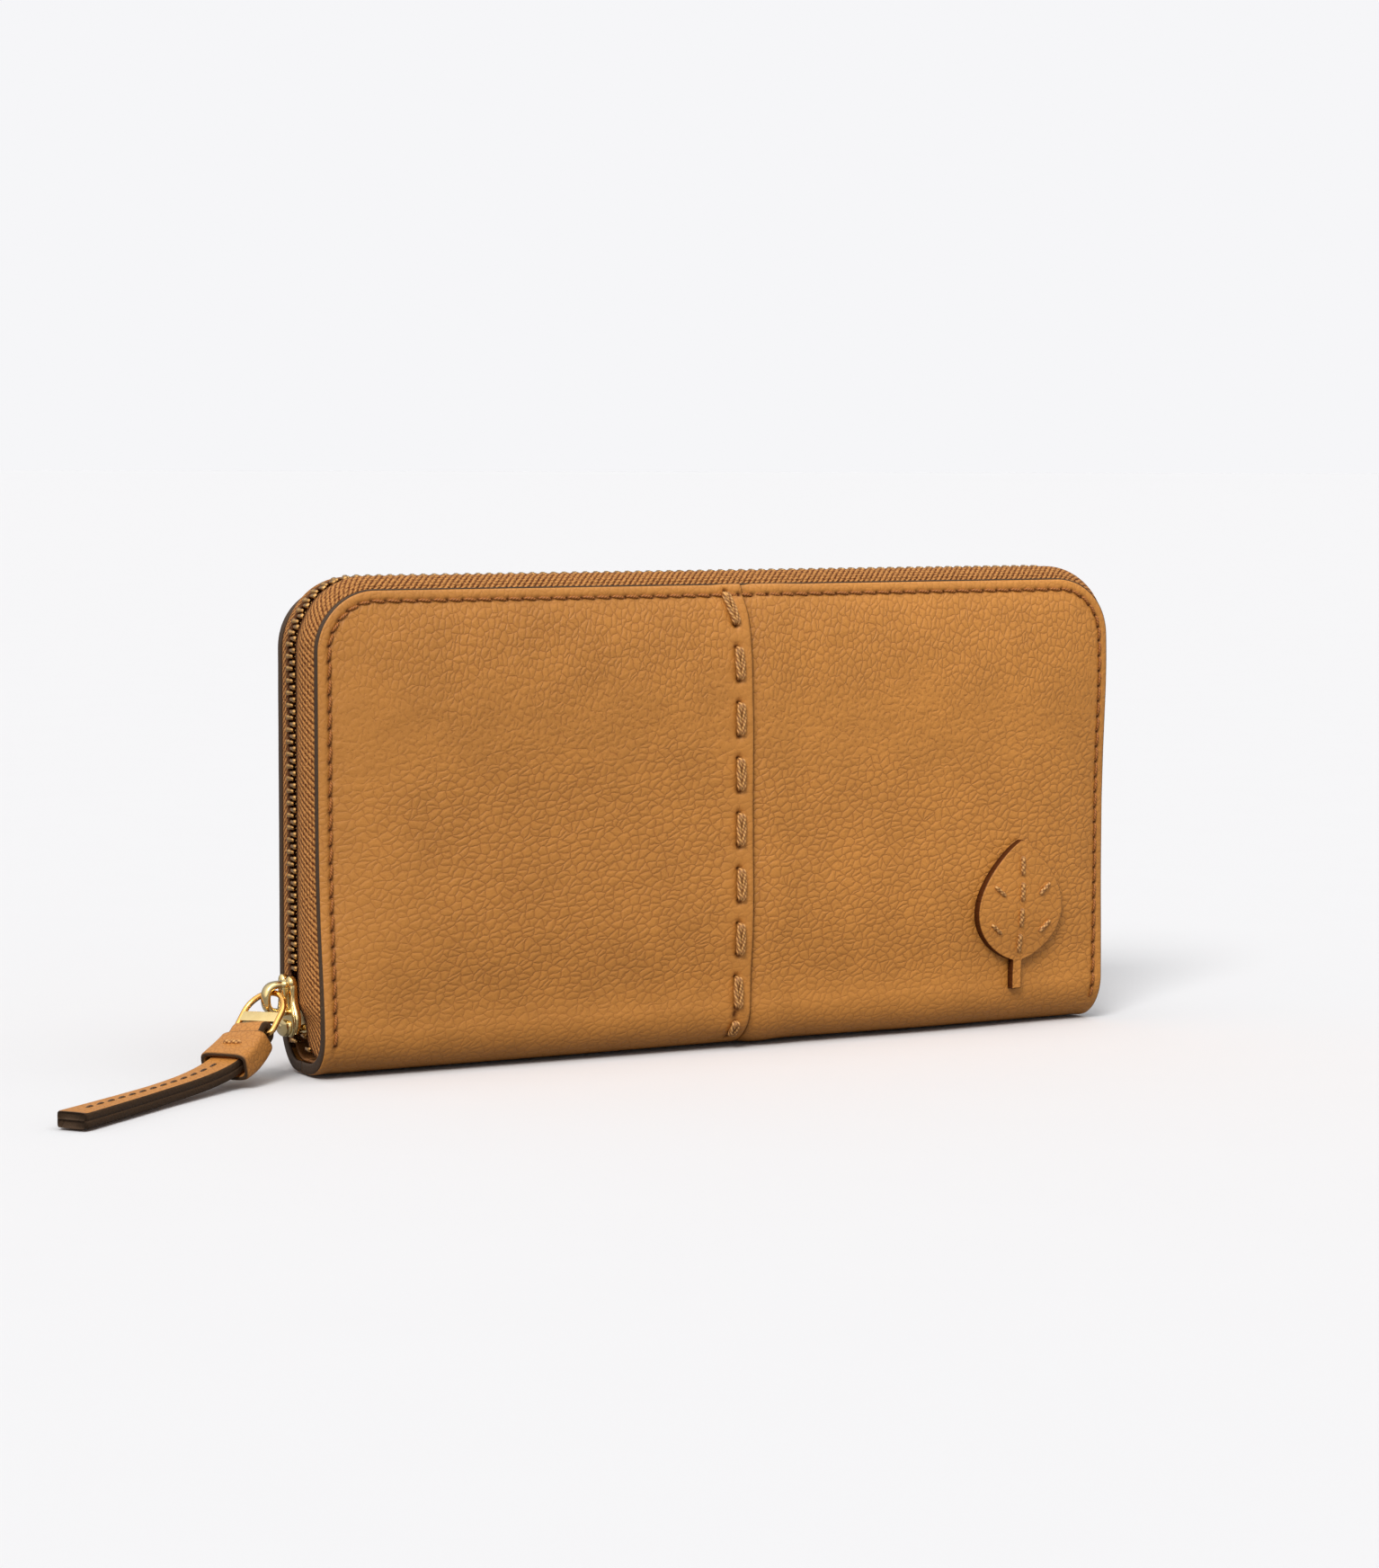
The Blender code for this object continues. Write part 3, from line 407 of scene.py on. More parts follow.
def leather(name, tan, crease, paint, cell=(2.25, 1.5), depth=0.18, rough=0.46):
    """Pebbled leather: soft uneven domes, shallow creases, pores, a painted light falloff across it, and dark
    edge paint and painted shade where marked.
    """
    s = Shade(name)
    flat = s.place()
    bent = flat
    for scale, amount in ((0.30, 1.9), (1.1, 0.42)):
        warp = s.noise(flat, scale, 2.0, output=1)
        shift = s.add("ShaderNodeVectorMath", {0: warp, 1: (0.5, 0.5, 0.5)}, operation="SUBTRACT")
        shift = s.add("ShaderNodeVectorMath", {0: shift, "Scale": amount}, operation="SCALE")
        bent = s.add("ShaderNodeVectorMath", {0: bent, 1: shift}, operation="ADD")
    voronoi = {"voronoi_dimensions": "2D", "feature": "DISTANCE_TO_EDGE"}
    edges = []
    second_cell = (0.9 * cell[0], 0.9 * cell[1])
    for turn, (wide, tall) in ((GRAIN_TURN, cell), (SECOND_TURN, second_cell), (SMALL_TURN, SMALL_CELL)):
        cells = s.place(0, (1 / wide, 1 / tall, 1), s.place(math.radians(turn), (1, 1, 1), bent))
        inputs = {"Vector": cells, "Scale": 1.0, "Randomness": 0.9}
        edges.append(s.add("ShaderNodeTexVoronoi", inputs, **voronoi))
    across, up, _ = s.parts(bent)
    near_top = s.ramp(s.math("MULTIPLY_ADD", s.noise(flat, 0.07, 1.0), 30.0, up), 70.0, 100.0)
    lower, upper, small = edges
    edge = s.plus(s.times(upper, near_top), s.times(lower, s.rest_of(near_top)))
    dome, furrow = s.ramp(edge, 0.0, 0.40), s.ramp(edge, 0.0, 0.09)
    patch = s.ramp(s.noise(flat, 0.16, 2.0), 0.38, 0.66)
    hair = s.times(s.rest_of(s.ramp(small, 0.0, 0.30)), s.math("MULTIPLY_ADD", patch, 0.10, 0.02))
    height = s.math("SUBTRACT", s.plus(s.times(dome, 0.46), s.times(furrow, 0.22)), hair)
    turned = s.place(math.radians(GRAIN_TURN), (1, 1, 1), bent)
    height = s.plus(height, s.times(s.noise(s.place(0, (0.12, 0.42, 1), turned), 1.0, 2.0), 0.9))
    height = s.plus(height, s.times(s.noise(flat, 5.5, 3.0), 0.12))
    # painted light falloff: the leather is painted darker at the left end and lighter at the right end
    painted_falloff = s.ramp(across, -70.0, 70.0)
    tones = []
    for spread in TONES_WITH_PAINTED_FALLOFF:
        left_tone, right_tone = ((*[k * c for c in tan[:3]], 1.0) for k in spread)
        tones.append(s.mix(painted_falloff, left_tone, right_tone))
    colour = s.mix(s.ramp(s.noise(flat, 0.09, 3.0), 0.3, 0.7), *tones)
    # crease lines, fine hairs and dome edges darken towards the crease colour: partly the leather's own darker
    # creases, partly painted shade
    seam = s.rest_of(furrow)
    tone = s.plus(s.times(seam, 0.46), s.times(hair, 0.7), clamp=True)
    tone = s.plus(tone, s.times(s.rest_of(dome), 0.10), clamp=True)
    keep = s.rest_of(s.times(s.attribute("calm"), 0.72))
    height = s.times(height, keep)
    colour = s.mix(s.times(tone, keep), colour, crease)
    speck = s.ramp(s.noise(flat, 2.3, 4.0), 0.35, 0.75, 0.0, 0.14)
    colour = s.mix(speck, colour, crease)
    # the dark mark takes the paint colour: real edge paint on painted edges, painted shade in holes, grooves and
    # under cords
    colour = s.mix(s.attribute("dark"), colour, paint)
    specular = s.math("MULTIPLY_ADD", s.attribute("dark"), -0.34, 0.42)
    shine = s.ramp(s.noise(flat, 0.5, 3.0), 0.3, 0.7, rough - 0.05, rough + 0.07)
    shine = s.plus(shine, s.times(seam, 0.12))
    return s.finish(colour, shine, s.bump(height, depth), specular=specular)


def thread(name, light, shade, pitch=0.55, depth=0.06):
    """Twisted thread: slanted plies along its length, painted lighter on their crests and darker in their grooves
    as painted highlight and shade.
    """
    s = Shade(name)
    turned = s.place(math.radians(38), (1 / pitch, 1 / pitch, 1))
    wave = s.add("ShaderNodeTexWave", {"Vector": turned, "Scale": 0.32, "Distortion": 0.6, "Detail": 1.0})
    fuzz = s.noise(s.place(0, (9, 2, 1)), 1.0, 3.0)
    height = s.plus(wave, s.times(fuzz, 0.4))
    # painted highlight on the plies' crests and painted shade in their grooves; the dark mark adds painted shade
    # between the plies
    colour = s.mix(s.times(s.rest_of(wave), 0.7, clamp=True), light, shade)
    colour = s.mix(s.times(s.attribute("dark"), 0.85), colour, shade)
    return s.finish(colour, 0.55, s.bump(height, depth), specular=0.35)


RIB_SLANT, RIB_PITCH = -0.9, 1.3


def woven_tape(name, light, shade):
    """Zip tape: a slanted twill in narrow knitted columns, with painted highlight on the ribs, painted shade
    between them and painted shade beside the teeth.
    """
    s = Shade(name)
    along, across, _ = s.parts(s.add("ShaderNodeUVMap", uv_map="mm"))
    slant = s.plus(along, s.times(across, RIB_SLANT))
    rib = s.math("MULTIPLY_ADD", s.math("SINE", s.times(slant, 2 * math.pi / RIB_PITCH)), 0.5, 0.5)
    column = s.ramp(s.math("PINGPONG", across, 0.38), 0.0, 0.28)
    fuzz = s.ramp(s.noise(s.place(0, (1.9, 2.6, 1)), 1.0, 4.0), 0.3, 0.7)
    height = s.times(s.math("POWER", rib, 0.7), s.math("MULTIPLY_ADD", column, 0.6, 0.4))
    height = s.plus(s.times(height, 0.8), s.times(fuzz, 0.42))
    # painted highlight on the ribs' tops and painted shade in the hollows between them
    colour = s.mix(s.ramp(height, 0.10, 0.85), shade, light)
    # painted shade beside the teeth, where the tape runs into the chain's gaps
    colour = s.mix(s.attribute("dark"), colour, srgb(80, 44, 22))
    return s.finish(colour, 0.85, s.bump(height, 0.5), specular=0.2)


def metal(name, colour, dull, rough=0.17, scale=1.0):
    """Plated metal with faint brushing, soft wear and small scratches."""
    s = Shade(name)
    where = s.add("ShaderNodeTexCoord", output=3)
    cloud = s.noise(s.place(0, (260 * scale,) * 3, where), 1.0, 3.0)
    brush = s.noise(s.place(0.4, (4200, 500, 900), where), 1.0, 2.0)
    colour = s.mix(s.times(s.ramp(cloud, 0.35, 0.75), 0.5), colour, dull)
    shine = s.ramp(brush, 0.3, 0.8, rough - 0.05, rough + 0.12)
    return s.finish(colour, shine, s.bump(brush, 0.004, 0.5), metallic=1.0)


def painted_edge(name, colour, worn):
    """Edge paint: smooth, slightly uneven, a little worn."""
    s = Shade(name)
    flat = s.place()
    rub = s.ramp(s.noise(flat, 0.35, 4.0), 0.62, 0.80, 0.0, 0.35)
    return s.finish(s.mix(rub, colour, worn), 0.5, s.bump(s.noise(flat, 0.9, 3.0), 0.10), specular=0.18)


def fibre_board(name):
    s = Shade(name)
    flecks = s.noise(s.place(0, (900, 900, 2500), s.add("ShaderNodeTexCoord", output=3)), 1.0, 4.0)
    return s.finish(s.mix(flecks, srgb(150, 128, 98), srgb(112, 92, 68)), 0.9, s.bump(flecks, 0.05))


TAN, CREASE = srgb(205, 137, 61), srgb(150, 88, 34)
LINING, LINING_CREASE, LINING_PAINT = srgb(176, 117, 64), srgb(140, 88, 44), srgb(70, 50, 34)
PAINT, WORN = srgb(72, 55, 41), srgb(92, 68, 46)
MATERIALS = {
    "skin": leather("pebbled_leather", TAN, CREASE, srgb(84, 44, 18)),
    "strap": leather("strap_leather", srgb(198, 133, 62), srgb(146, 88, 38), PAINT, (1.4, 1.1), 0.08),
    "lining": leather("lining_leather", LINING, LINING_CREASE, LINING_PAINT, (0.8, 0.7), 0.04, 0.6),
    "cord": thread("waxed_cord", srgb(236, 178, 106), srgb(112, 58, 22), 0.7, 0.04),
    "thread": thread("stitch_thread", srgb(190, 118, 54), srgb(96, 50, 20), 0.5),
    "dark_thread": thread("dark_stitch_thread", srgb(92, 66, 44), srgb(50, 34, 22), 0.5),
    "nylon": thread("nylon_coil", srgb(150, 100, 56), srgb(108, 66, 34), 0.9, 0.01),
    "tape": woven_tape("zip_tape_weave", srgb(224, 156, 88), srgb(112, 56, 26)),
    "gold": metal("pale_gold", srgb(236, 210, 150), srgb(210, 178, 114), 0.16),
    "teeth": metal("zip_teeth_gold", srgb(196, 150, 90), srgb(132, 90, 48), 0.28, 3.0),
    "wire": metal("ring_gold", srgb(228, 176, 100), srgb(196, 142, 74), 0.2),
    "edge": painted_edge("edge_paint", PAINT, WORN),
    "board": fibre_board("fibre_board"),
}


# ---- Mesh building ----
# A group is (points, quads, uv, marks). Marks: "dark" where edge paint goes and where shade is painted, "calm"
# where the grain is flat.
MARKS = ("dark", "calm")


def make_mesh(name, points, quads, uv, material, marks):
    """A smooth-shaded mesh from points in mm, with a map in mm and per-point marks."""
    mesh = bpy.data.meshes.new(name)
    mesh.vertices.add(len(points))
    mesh.vertices.foreach_set("co", (points * MM).ravel())
    mesh.loops.add(quads.size)
    mesh.loops.foreach_set("vertex_index", quads.astype(np.int32).ravel())
    mesh.polygons.add(len(quads))
    mesh.polygons.foreach_set("loop_start", np.arange(0, quads.size, 4, dtype=np.int32))
    mesh.update(calc_edges=True)
    mesh.uv_layers.new(name="mm").data.foreach_set("uv", uv[quads.ravel()].astype(np.float32).ravel())
    for key in MARKS:
        mesh.attributes.new(key, "FLOAT", "POINT").data.foreach_set("value", marks[key].astype(np.float32))
    mesh.shade_smooth()
    mesh.materials.append(MATERIALS[material])
    mesh.validate()
    obj = bpy.data.objects.new(name, mesh)
    bpy.context.scene.collection.objects.link(obj)
    return obj


def grid_quads(n, m, wrap_n=False, wrap_m=False, flip=False, start=0):
    """Quads of an n by m grid of points."""
    i = np.arange(n if wrap_n else n - 1)
    j = np.arange(m if wrap_m else m - 1)
    i, j = np.meshgrid(i, j, indexing="ij")
    i2, j2 = (i + 1) % n, (j + 1) % m
    q = np.stack([i * m + j, i2 * m + j, i2 * m + j2, i * m + j2], -1).reshape(-1, 4)
    return (q[:, ::-1] if flip else q) + start


def join(groups):
    """Groups as one."""
    points, quads, uvs, start = [], [], [], 0
    marks = {key: [] for key in MARKS}
    for group_points, group_quads, uv, group_marks in groups:
        points.append(group_points.reshape(-1, 3))
        quads.append(group_quads + start)
        uvs.append(uv.reshape(-1, 2))
        count = len(points[-1])
        for key in MARKS:
            marks[key].append(np.ravel(group_marks.get(key, np.zeros(count))))
        start += count
    marks = {key: np.concatenate(values) for key, values in marks.items()}
    return np.concatenate(points), np.concatenate(quads), np.concatenate(uvs), marks


def shell(outer, inner, uv, marks=None):
    """A closed sheet between two matching grids."""
    n, m = outer.shape[:2]
    first = grid_quads(n, m)
    second = grid_quads(n, m, flip=True, start=n * m)
    rim = [(i, 0) for i in range(n)] + [(n - 1, j) for j in range(1, m)]
    rim += [(i, m - 1) for i in range(n - 2, -1, -1)] + [(0, j) for j in range(m - 2, 0, -1)]
    ids = np.array([i * m + j for i, j in rim])
    after = np.roll(ids, -1)
    wall = np.stack([after, ids, ids + n * m, after + n * m], -1)
    points = np.concatenate([outer.reshape(-1, 3), inner.reshape(-1, 3)])
    marks = {key: np.tile(np.ravel(value), 2) for key, value in (marks or {}).items()}
    return points, np.concatenate([first, second, wall]), np.tile(uv.reshape(-1, 2), (2, 1)), marks


def rounded_box(centre, half, radius, axes=((1, 0, 0), (0, 1, 0), (0, 0, 1))):
    """A box with rounded edges and corners: half holds its three half sizes, along three axes."""
    half = np.asarray(half, float)
    radius = min(radius, *(half * 0.999))
    bend = np.linspace(0, math.pi / 4, 3)
    line = []
    for h in half:
        low = -(h - radius) - radius * np.tan(math.pi / 4 - bend)
        line.append(np.concatenate([low, -low[::-1]]))
    faces, points, count = [], [], 0
    for axis in range(3):
        u, v = (axis + 1) % 3, (axis + 2) % 3
        for sign in (-1, 1):
            a, b = np.meshgrid(line[u], line[v], indexing="ij")
            cube = np.zeros((*a.shape, 3))
            cube[..., u], cube[..., v], cube[..., axis] = a, b, sign * half[axis]
            core = np.clip(cube, -(half - radius), half - radius)
            cube = core + radius * unit(cube - core + 1e-12)
            points.append(cube.reshape(-1, 3))
            faces.append(grid_quads(*a.shape, flip=sign < 0, start=count))
            count += a.size
    points = np.concatenate(points) @ np.asarray(axes, float) + np.asarray(centre, float)
    return points, np.concatenate(faces), points[:, :2] + points[:, 2:], {}


def tag(obj, slot, nodes):
    if nodes:
        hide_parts(*nodes)


def place(obj, body, slot, *nodes):
    """Fixes a piece to a body."""
    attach(obj, body)
    tag(obj, slot, nodes)


def bend(obj, mover, start, end, slot, *nodes):
    """Bakes a piece's place into its mesh and hides the CAD nodes it stands for."""
    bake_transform(obj)
    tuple(start)
    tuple(end)
    tag(obj, slot, nodes)


# ---- Lines, rings and sweeps ----
def graded(low, high, fine, coarse, near):
    """Values from low to high, closely spaced round each (place, reach)."""
    values = [low]
    while values[-1] < high:
        gap = min(max(0.0, abs(values[-1] - place) - reach) for place, reach in near)
        values.append(values[-1] + fine + (coarse - fine) * min(1.0, gap / 4))
    values = np.array(values)
    return low + (values - low) * (high - low) / (values[-1] - low)


def chaikin(points, rounds=3, closed=False):
    """A line of points with its corners cut smooth."""
    points = np.asarray(points, float)
    for _ in range(rounds):
        after = np.roll(points, -1, 0) if closed else points[1:]
        before = points if closed else points[:-1]
        cut = np.stack([0.75 * before + 0.25 * after, 0.25 * before + 0.75 * after], 1)
        cut = cut.reshape(-1, points.shape[1])
        points = cut if closed else np.concatenate([points[:1], cut, points[-1:]])
    return points


def rounded(half_a, half_b, count=16, power=0.55):
    """A rounded rectangle as a ring of 2D points."""
    angle = circle(count) + math.pi / count
    c, s = np.cos(angle), np.sin(angle)
    return np.stack([half_a * np.sign(c) * np.abs(c) ** power, half_b * np.sign(s) * np.abs(s) ** power], -1)


def lofted(rings, closed=False, marks=None):
    """A solid through matching rings, capped at both ends unless closed."""
    rings = np.asarray(rings, float)
    n, m = rings.shape[:2]
    quads = [grid_quads(n, m, closed, True)]
    if not closed:
        ladder = [(k, k + 1, m - 2 - k, m - 1 - k) for k in range(m // 2 - 1)]
        quads.append(np.array([q[::-1] for q in ladder]))
        quads.append(np.array(ladder) + (n - 1) * m)
    along = length_along(rings.mean(1))
    around = np.array([length_along(ring) for ring in rings])
    return rings.reshape(-1, 3), np.concatenate(quads), pairs(along[:, None], around), marks or {}


def swept(line, up, section, closed=False, scale=None, marks=None):
    """A section carried along a line: its first number goes sideways and its second one up."""
    line = np.asarray(line, float)
    if closed:
        tangent = unit(np.roll(line, -1, 0) - np.roll(line, 1, 0))
    else:
        tangent = unit(np.gradient(line, axis=0))
    side = unit(np.cross(tangent, np.broadcast_to(np.asarray(up, float), line.shape)))
    top = np.cross(side, tangent)
    section = np.broadcast_to(np.asarray(section, float), (len(line), *np.asarray(section).shape[-2:]))
    if scale is not None:
        section = section * np.asarray(scale)[:, None, None]
    rings = line[:, None] + side[:, None] * section[..., :1] + top[:, None] * section[..., 1:]
    return lofted(rings, closed, marks)


def outward(group):
    """Turns a group's faces outwards, by the sign of its volume."""
    points, quads, uv, marks = group
    a, b, c, d = (points[quads[:, k]] for k in range(4))
    volume = np.einsum("ij,ij->", a, np.cross(b, c)) + np.einsum("ij,ij->", a, np.cross(c, d))
    return (points, quads[:, ::-1] if volume < 0 else quads, uv, marks)


def rope(line, up, radius, plies=3, lay=2.6, hand=1, sides=18):
    """A laid cord: plies turning round each other, drawn in at both ends."""
    length = length_along(line)
    angle = circle(sides)
    turn = hand * 2 * math.pi * length / lay
    wave = np.abs(np.cos(plies / 2 * (angle[None, :] + turn[:, None] / plies)))
    r = radius * (0.66 + 0.44 * wave)
    share = length / length[-1]
    r = r * np.sqrt(np.clip(np.minimum(share, 1 - share) / 0.14, 0.06, 1))[:, None]
    section = pairs(r * np.cos(angle), r * np.sin(angle))
    # dark: painted shade in the grooves between the plies
    dark = np.broadcast_to(np.clip(1.25 - 1.7 * wave, 0, 1), r.shape)
    return outward(swept(line, up, section, marks={"dark": dark}))


def small_cord(line, up, radius):
    return rope(line, up, radius, plies=2, lay=1.5, sides=12)


def stitch(line, up, section, pinch):
    """A short sewn stitch, thinner at both ends by pinch."""
    return swept(line, up, section, scale=1 - pinch * np.abs(np.linspace(-1, 1, len(line))) ** 3)


def strip_faces(line, half):
    """A 2D line moved to either side by half: the two faces of a thin strip."""
    tangent = unit(np.gradient(line, axis=-2))
    face = np.stack([tangent[..., 1], -tangent[..., 0]], -1)
    return [line + face * shift for shift in (-half, half)]


def solid(name, groups, material):
    """One object from groups."""
    points, quads, uv, marks = join([outward(g) for g in groups])
    return make_mesh(name, points, quads, uv, material, marks)


# ---- Sheet coordinates: x across, a up the profile ----
SQUEEZE_FROM = 60.0  # above this height the rows of points close up towards the rounded top corners
SKIN_DEPTH = 1.25
SIDE_RUN, QUARTER = HEIGHT - CORNER, CORNER * math.pi / 2
HALF_RUN = SIDE_RUN + QUARTER + HALF_WIDTH - CORNER


def lowest(side):
    """Profile height of a skin's far edge, under the wallet."""
    return foot_of(side) - FEET[side][0][0][-1]


def outline_at(along, inset=0.0):
    """(x, a) of the cover's outline drawn in by inset, and its outward direction in the sheet."""
    along = np.asarray(along, float)
    right = along > HALF_RUN
    s = np.where(right, 2 * HALF_RUN - along, along)
    angle = np.clip((s - SIDE_RUN) / CORNER, 0, math.pi / 2)
    over = np.maximum(0, s - SIDE_RUN - QUARTER)
    ox, oa = -np.cos(angle), np.sin(angle)
    x = -(HALF_WIDTH - CORNER) + (CORNER - inset) * ox + over
    a = np.minimum(s, SIDE_RUN) + (CORNER - inset) * oa
    return np.where(right, -x, x), a, np.where(right, -ox, ox), oa


def on_cover(side, x, a):
    """Points on a cover's base surface, and the outward direction at each."""
    y, z = base_profile(side, x, a)
    ny, nz = base_normal(side, x, a)
    return np.stack([x, y, z], -1), np.stack([0 * y, ny, nz], -1)


def fitted(a, top, full):
    """Profile heights squeezed above SQUEEZE_FROM so that full comes down to top."""
    share = (top - SQUEEZE_FROM) / (full - SQUEEZE_FROM)
    return np.where(a < SQUEEZE_FROM, a, SQUEEZE_FROM + (a - SQUEEZE_FROM) * share)


def skin_columns(low, high):
    """x of a skin's columns of points: closer together at the lap seam and round the corner."""
    turn = np.radians(np.arange(2.5, 90.01, 2.5))
    near = [(LAP_X, 5.0)]
    straight = HALF_WIDTH - CORNER
    if low < -straight:
        corner = -straight - CORNER * np.sin(turn[::-1])
        return np.concatenate([corner, graded(-straight, high, 0.36, 0.72, near)])
    corner = straight + CORNER * np.sin(turn)
    return np.concatenate([graded(low, straight, 0.36, 0.72, near), corner])


def skin(name, side, low, high, lapped):
    """Half of a cover's leather, from under the wallet to the top edge."""
    columns, rows = skin_columns(low, high), graded(lowest(side), HEIGHT, 0.36, 0.62, [(HEIGHT - 3, 4.0)])
    x = np.broadcast_to(columns[:, None], (len(columns), len(rows)))
    a = fitted(rows[None, :], top_at(columns)[:, None], HEIGHT)
    h, dark, calm = relief(side, x, a, lapped)
    point, normal = on_cover(side, x + seam_shift(a) * bell(x - LAP_X, 5.0), a)
    depth = (lap_rise(side, x, a) if lapped else 0 * x) - SKIN_DEPTH
    outer, inner = (point + normal * height[..., None] for height in (h, depth))
    uv = np.stack([x * -side + (250 if side > 0 else 0), a], -1)
    return solid(name, [shell(outer, inner, uv, {"dark": dark, "calm": calm})], "skin")


def painted_rim(name, side):
    """The painted edge of the leather and lining sewn together."""
    start = lowest(side)
    along = np.arange(start, 2 * HALF_RUN - start, 0.8)
    x, a, ox, oa = outline_at(along)
    point, normal = on_cover(side, x, a)
    out = np.stack([ox, 0 * ox, oa], -1)
    section = rounded(0.42, 1.0, 16, 0.5)
    wobble = 1 + 0.06 * noise(along, along * 0 + side, 7.0)
    half = (0.84 + 0.26 * smooth(26, 6, np.minimum(along, 2 * HALF_RUN - along)))[:, None]
    centre = point - out * 0.22 - normal * (0.16 + half)
    rings = centre[:, None] + out[:, None] * section[None, :, :1] * wobble[:, None, None]
    rings = rings + normal[:, None] * section[None, :, 1:] * half[..., None]
    return solid(name, [lofted(rings)], "edge")


def stitch_row(side, first, last):
    """Saddle stitches along a cover's edge, each sunk at both ends."""
    groups = []
    start = math.ceil(first / STITCH_PITCH) * STITCH_PITCH
    for s in np.arange(start, last, STITCH_PITCH):
        t = np.linspace(0, 1, 9)
        along = s + STITCH_PITCH * (0.09 + 0.82 * t)
        x, a, _, _ = outline_at(along, STITCH_INSET + 0.34 * (t - 0.5))
        point, up = on_cover(side, x, a)
        lift = 0.17 - 0.50 * np.abs(2 * t - 1) ** 4
        groups.append(stitch(point + up * lift[:, None], up, rounded(0.30, 0.25, 8, 1.0), 0.45))
    return groups


def cord_row(side):
    """Pairs of waxed cords that cross the lap seam's edge row, each pair dipping into its awl holes."""
    groups = []
    for k, centre in enumerate(cord_centres(side)):
        t = np.linspace(-1, 1, 49)
        length = CORD_LENGTH if centre > foot_of(side) else SPINE_CORD_LENGTH
        a = centre + t * length / 2
        lean = cord_middle(k) - cord_tilt(k) * t / 2
        for hand in (-1, 1):
            apart = 0.54 * np.sqrt(np.clip(1 - 0.93 * np.abs(t) ** 2.6, 0, 1))
            x = lean + 0.7 * seam_shift(a) + hand * apart
            point, up = on_cover(side, x, a)
            lift = lap_rise(side, x, a) + 0.30 - 1.15 * np.clip((np.abs(t) - 0.80) / 0.2, 0, 1) ** 2
            groups.append(rope(point + up * lift[:, None], up, 0.52, hand=hand))
    return groups


COVERS = (("front", -1), ("back", 1))
SPINE_BEND = ((0, 0, 1.0 * MM), (0, 0, 13.0 * MM))


def cover_piece(obj, side, slot, *nodes, span=SPINE_BEND):
    """The front cover's pieces are baked in place; the back cover's are fixed to the back cover."""
    if side < 0:
        bend(obj, "front_cover", *span, slot, *nodes)
    else:
        place(obj, "back_cover", slot, *nodes)


for prefix, side in COVERS:
    halves = (("left", -HALF_WIDTH, LAP_X, True), ("right", LAP_X + 0.12, HALF_WIDTH, False))
    for word, low, high, lapped in halves:
        leather_half = skin(f"{prefix}_{word}_skin", side, low, high, lapped)
        cover_piece(leather_half, side, "leather", f"{prefix}_{word}_leather")
    first = foot_of(side) - 4.5
    stitches = stitch_row(side, first, 2 * HALF_RUN - first)
    cover_piece(painted_rim(f"{prefix}_painted_rim", side), side, "leather")
    cover_piece(solid(f"{prefix}_edge_stitches", stitches, "thread"), side, "leather")
    cover_piece(solid(f"{prefix}_seam_cords", cord_row(side), "cord"), side, "leather")


# ---- Main zip: tapes, teeth, stop ----
ZIP_FOOT = 9.0
CHAIN_RADIUS = CORNER + TOOTH_MID
ZIP_SIDE = HEIGHT - CORNER - ZIP_FOOT
ZIP_TURN = CHAIN_RADIUS * math.pi / 2
ZIP_LENGTH = 2 * (ZIP_SIDE + ZIP_TURN) + 2 * (HALF_WIDTH - CORNER)
TAPE_BEND = ((0, -0.003, 0.015), (0, -0.00867, 0.01636))
TEETH_BEND = ((0, 0, 0.0192), (0, 0, 0.0442))
# shares of the way from the leather to the chain, at seven places across a tape
TAPE_OUT = {-1: (0, 0, 0.64, 1.16, 1.22, 1.04, 1), 1: (0, 0, 0.22, 0.76, 1.06, 1.03, 1)}
TAPE_AWAY = (0, 0, 0.10, 0.38, 0.62, 0.84, 1)
TAPE_TUCK, TAPE_DEEP, TAPE_HALF = -0.9, -7.0, 0.19


def zip_at(s):
    """Base point on the outline and outward direction, s mm along the chain from its left foot."""
    s = np.asarray(s, float)
    right = s > ZIP_LENGTH / 2
    t = np.where(right, ZIP_LENGTH - s, s)
    angle = np.clip((t - ZIP_SIDE) / CHAIN_RADIUS, 0, math.pi / 2)
    over = np.maximum(0, t - ZIP_SIDE - ZIP_TURN)
    ox, oz = -np.cos(angle), np.sin(angle)
    x = -(HALF_WIDTH - CORNER) + CORNER * ox + over
    z = np.minimum(ZIP_FOOT + t, HEIGHT - CORNER) + CORNER * oz
    zero = np.zeros_like(x)
    base = np.stack([np.where(right, -x, x), zero, z], -1)
    return base, np.stack([np.where(right, -ox, ox), zero, oz], -1)


def free_edge(s):
    """Where a tape's toothed edge runs: (outward, away from the mid-plane), tucked in at both feet."""
    base, _ = zip_at(s)
    x, z = base[..., 0], base[..., 2]
    tuck_left = 0.7 * smooth(15, 11, z) + 1.1 * smooth(11, 6.5, z) + 3.6 * smooth(6.8, 4.4, z)
    tuck_right = 2.5 * smooth(9.5, 5.0, z)
    sunk_left = 0.85 * smooth(100, 92, z) + 1.4 * smooth(15.5, 10.5, z)
    sunk_right = 1.6 * smooth(9.5, 5.0, z)
    return TOOTH_MID - np.where(x < 0, sunk_left, sunk_right), np.where(x < 0, tuck_left, tuck_right)


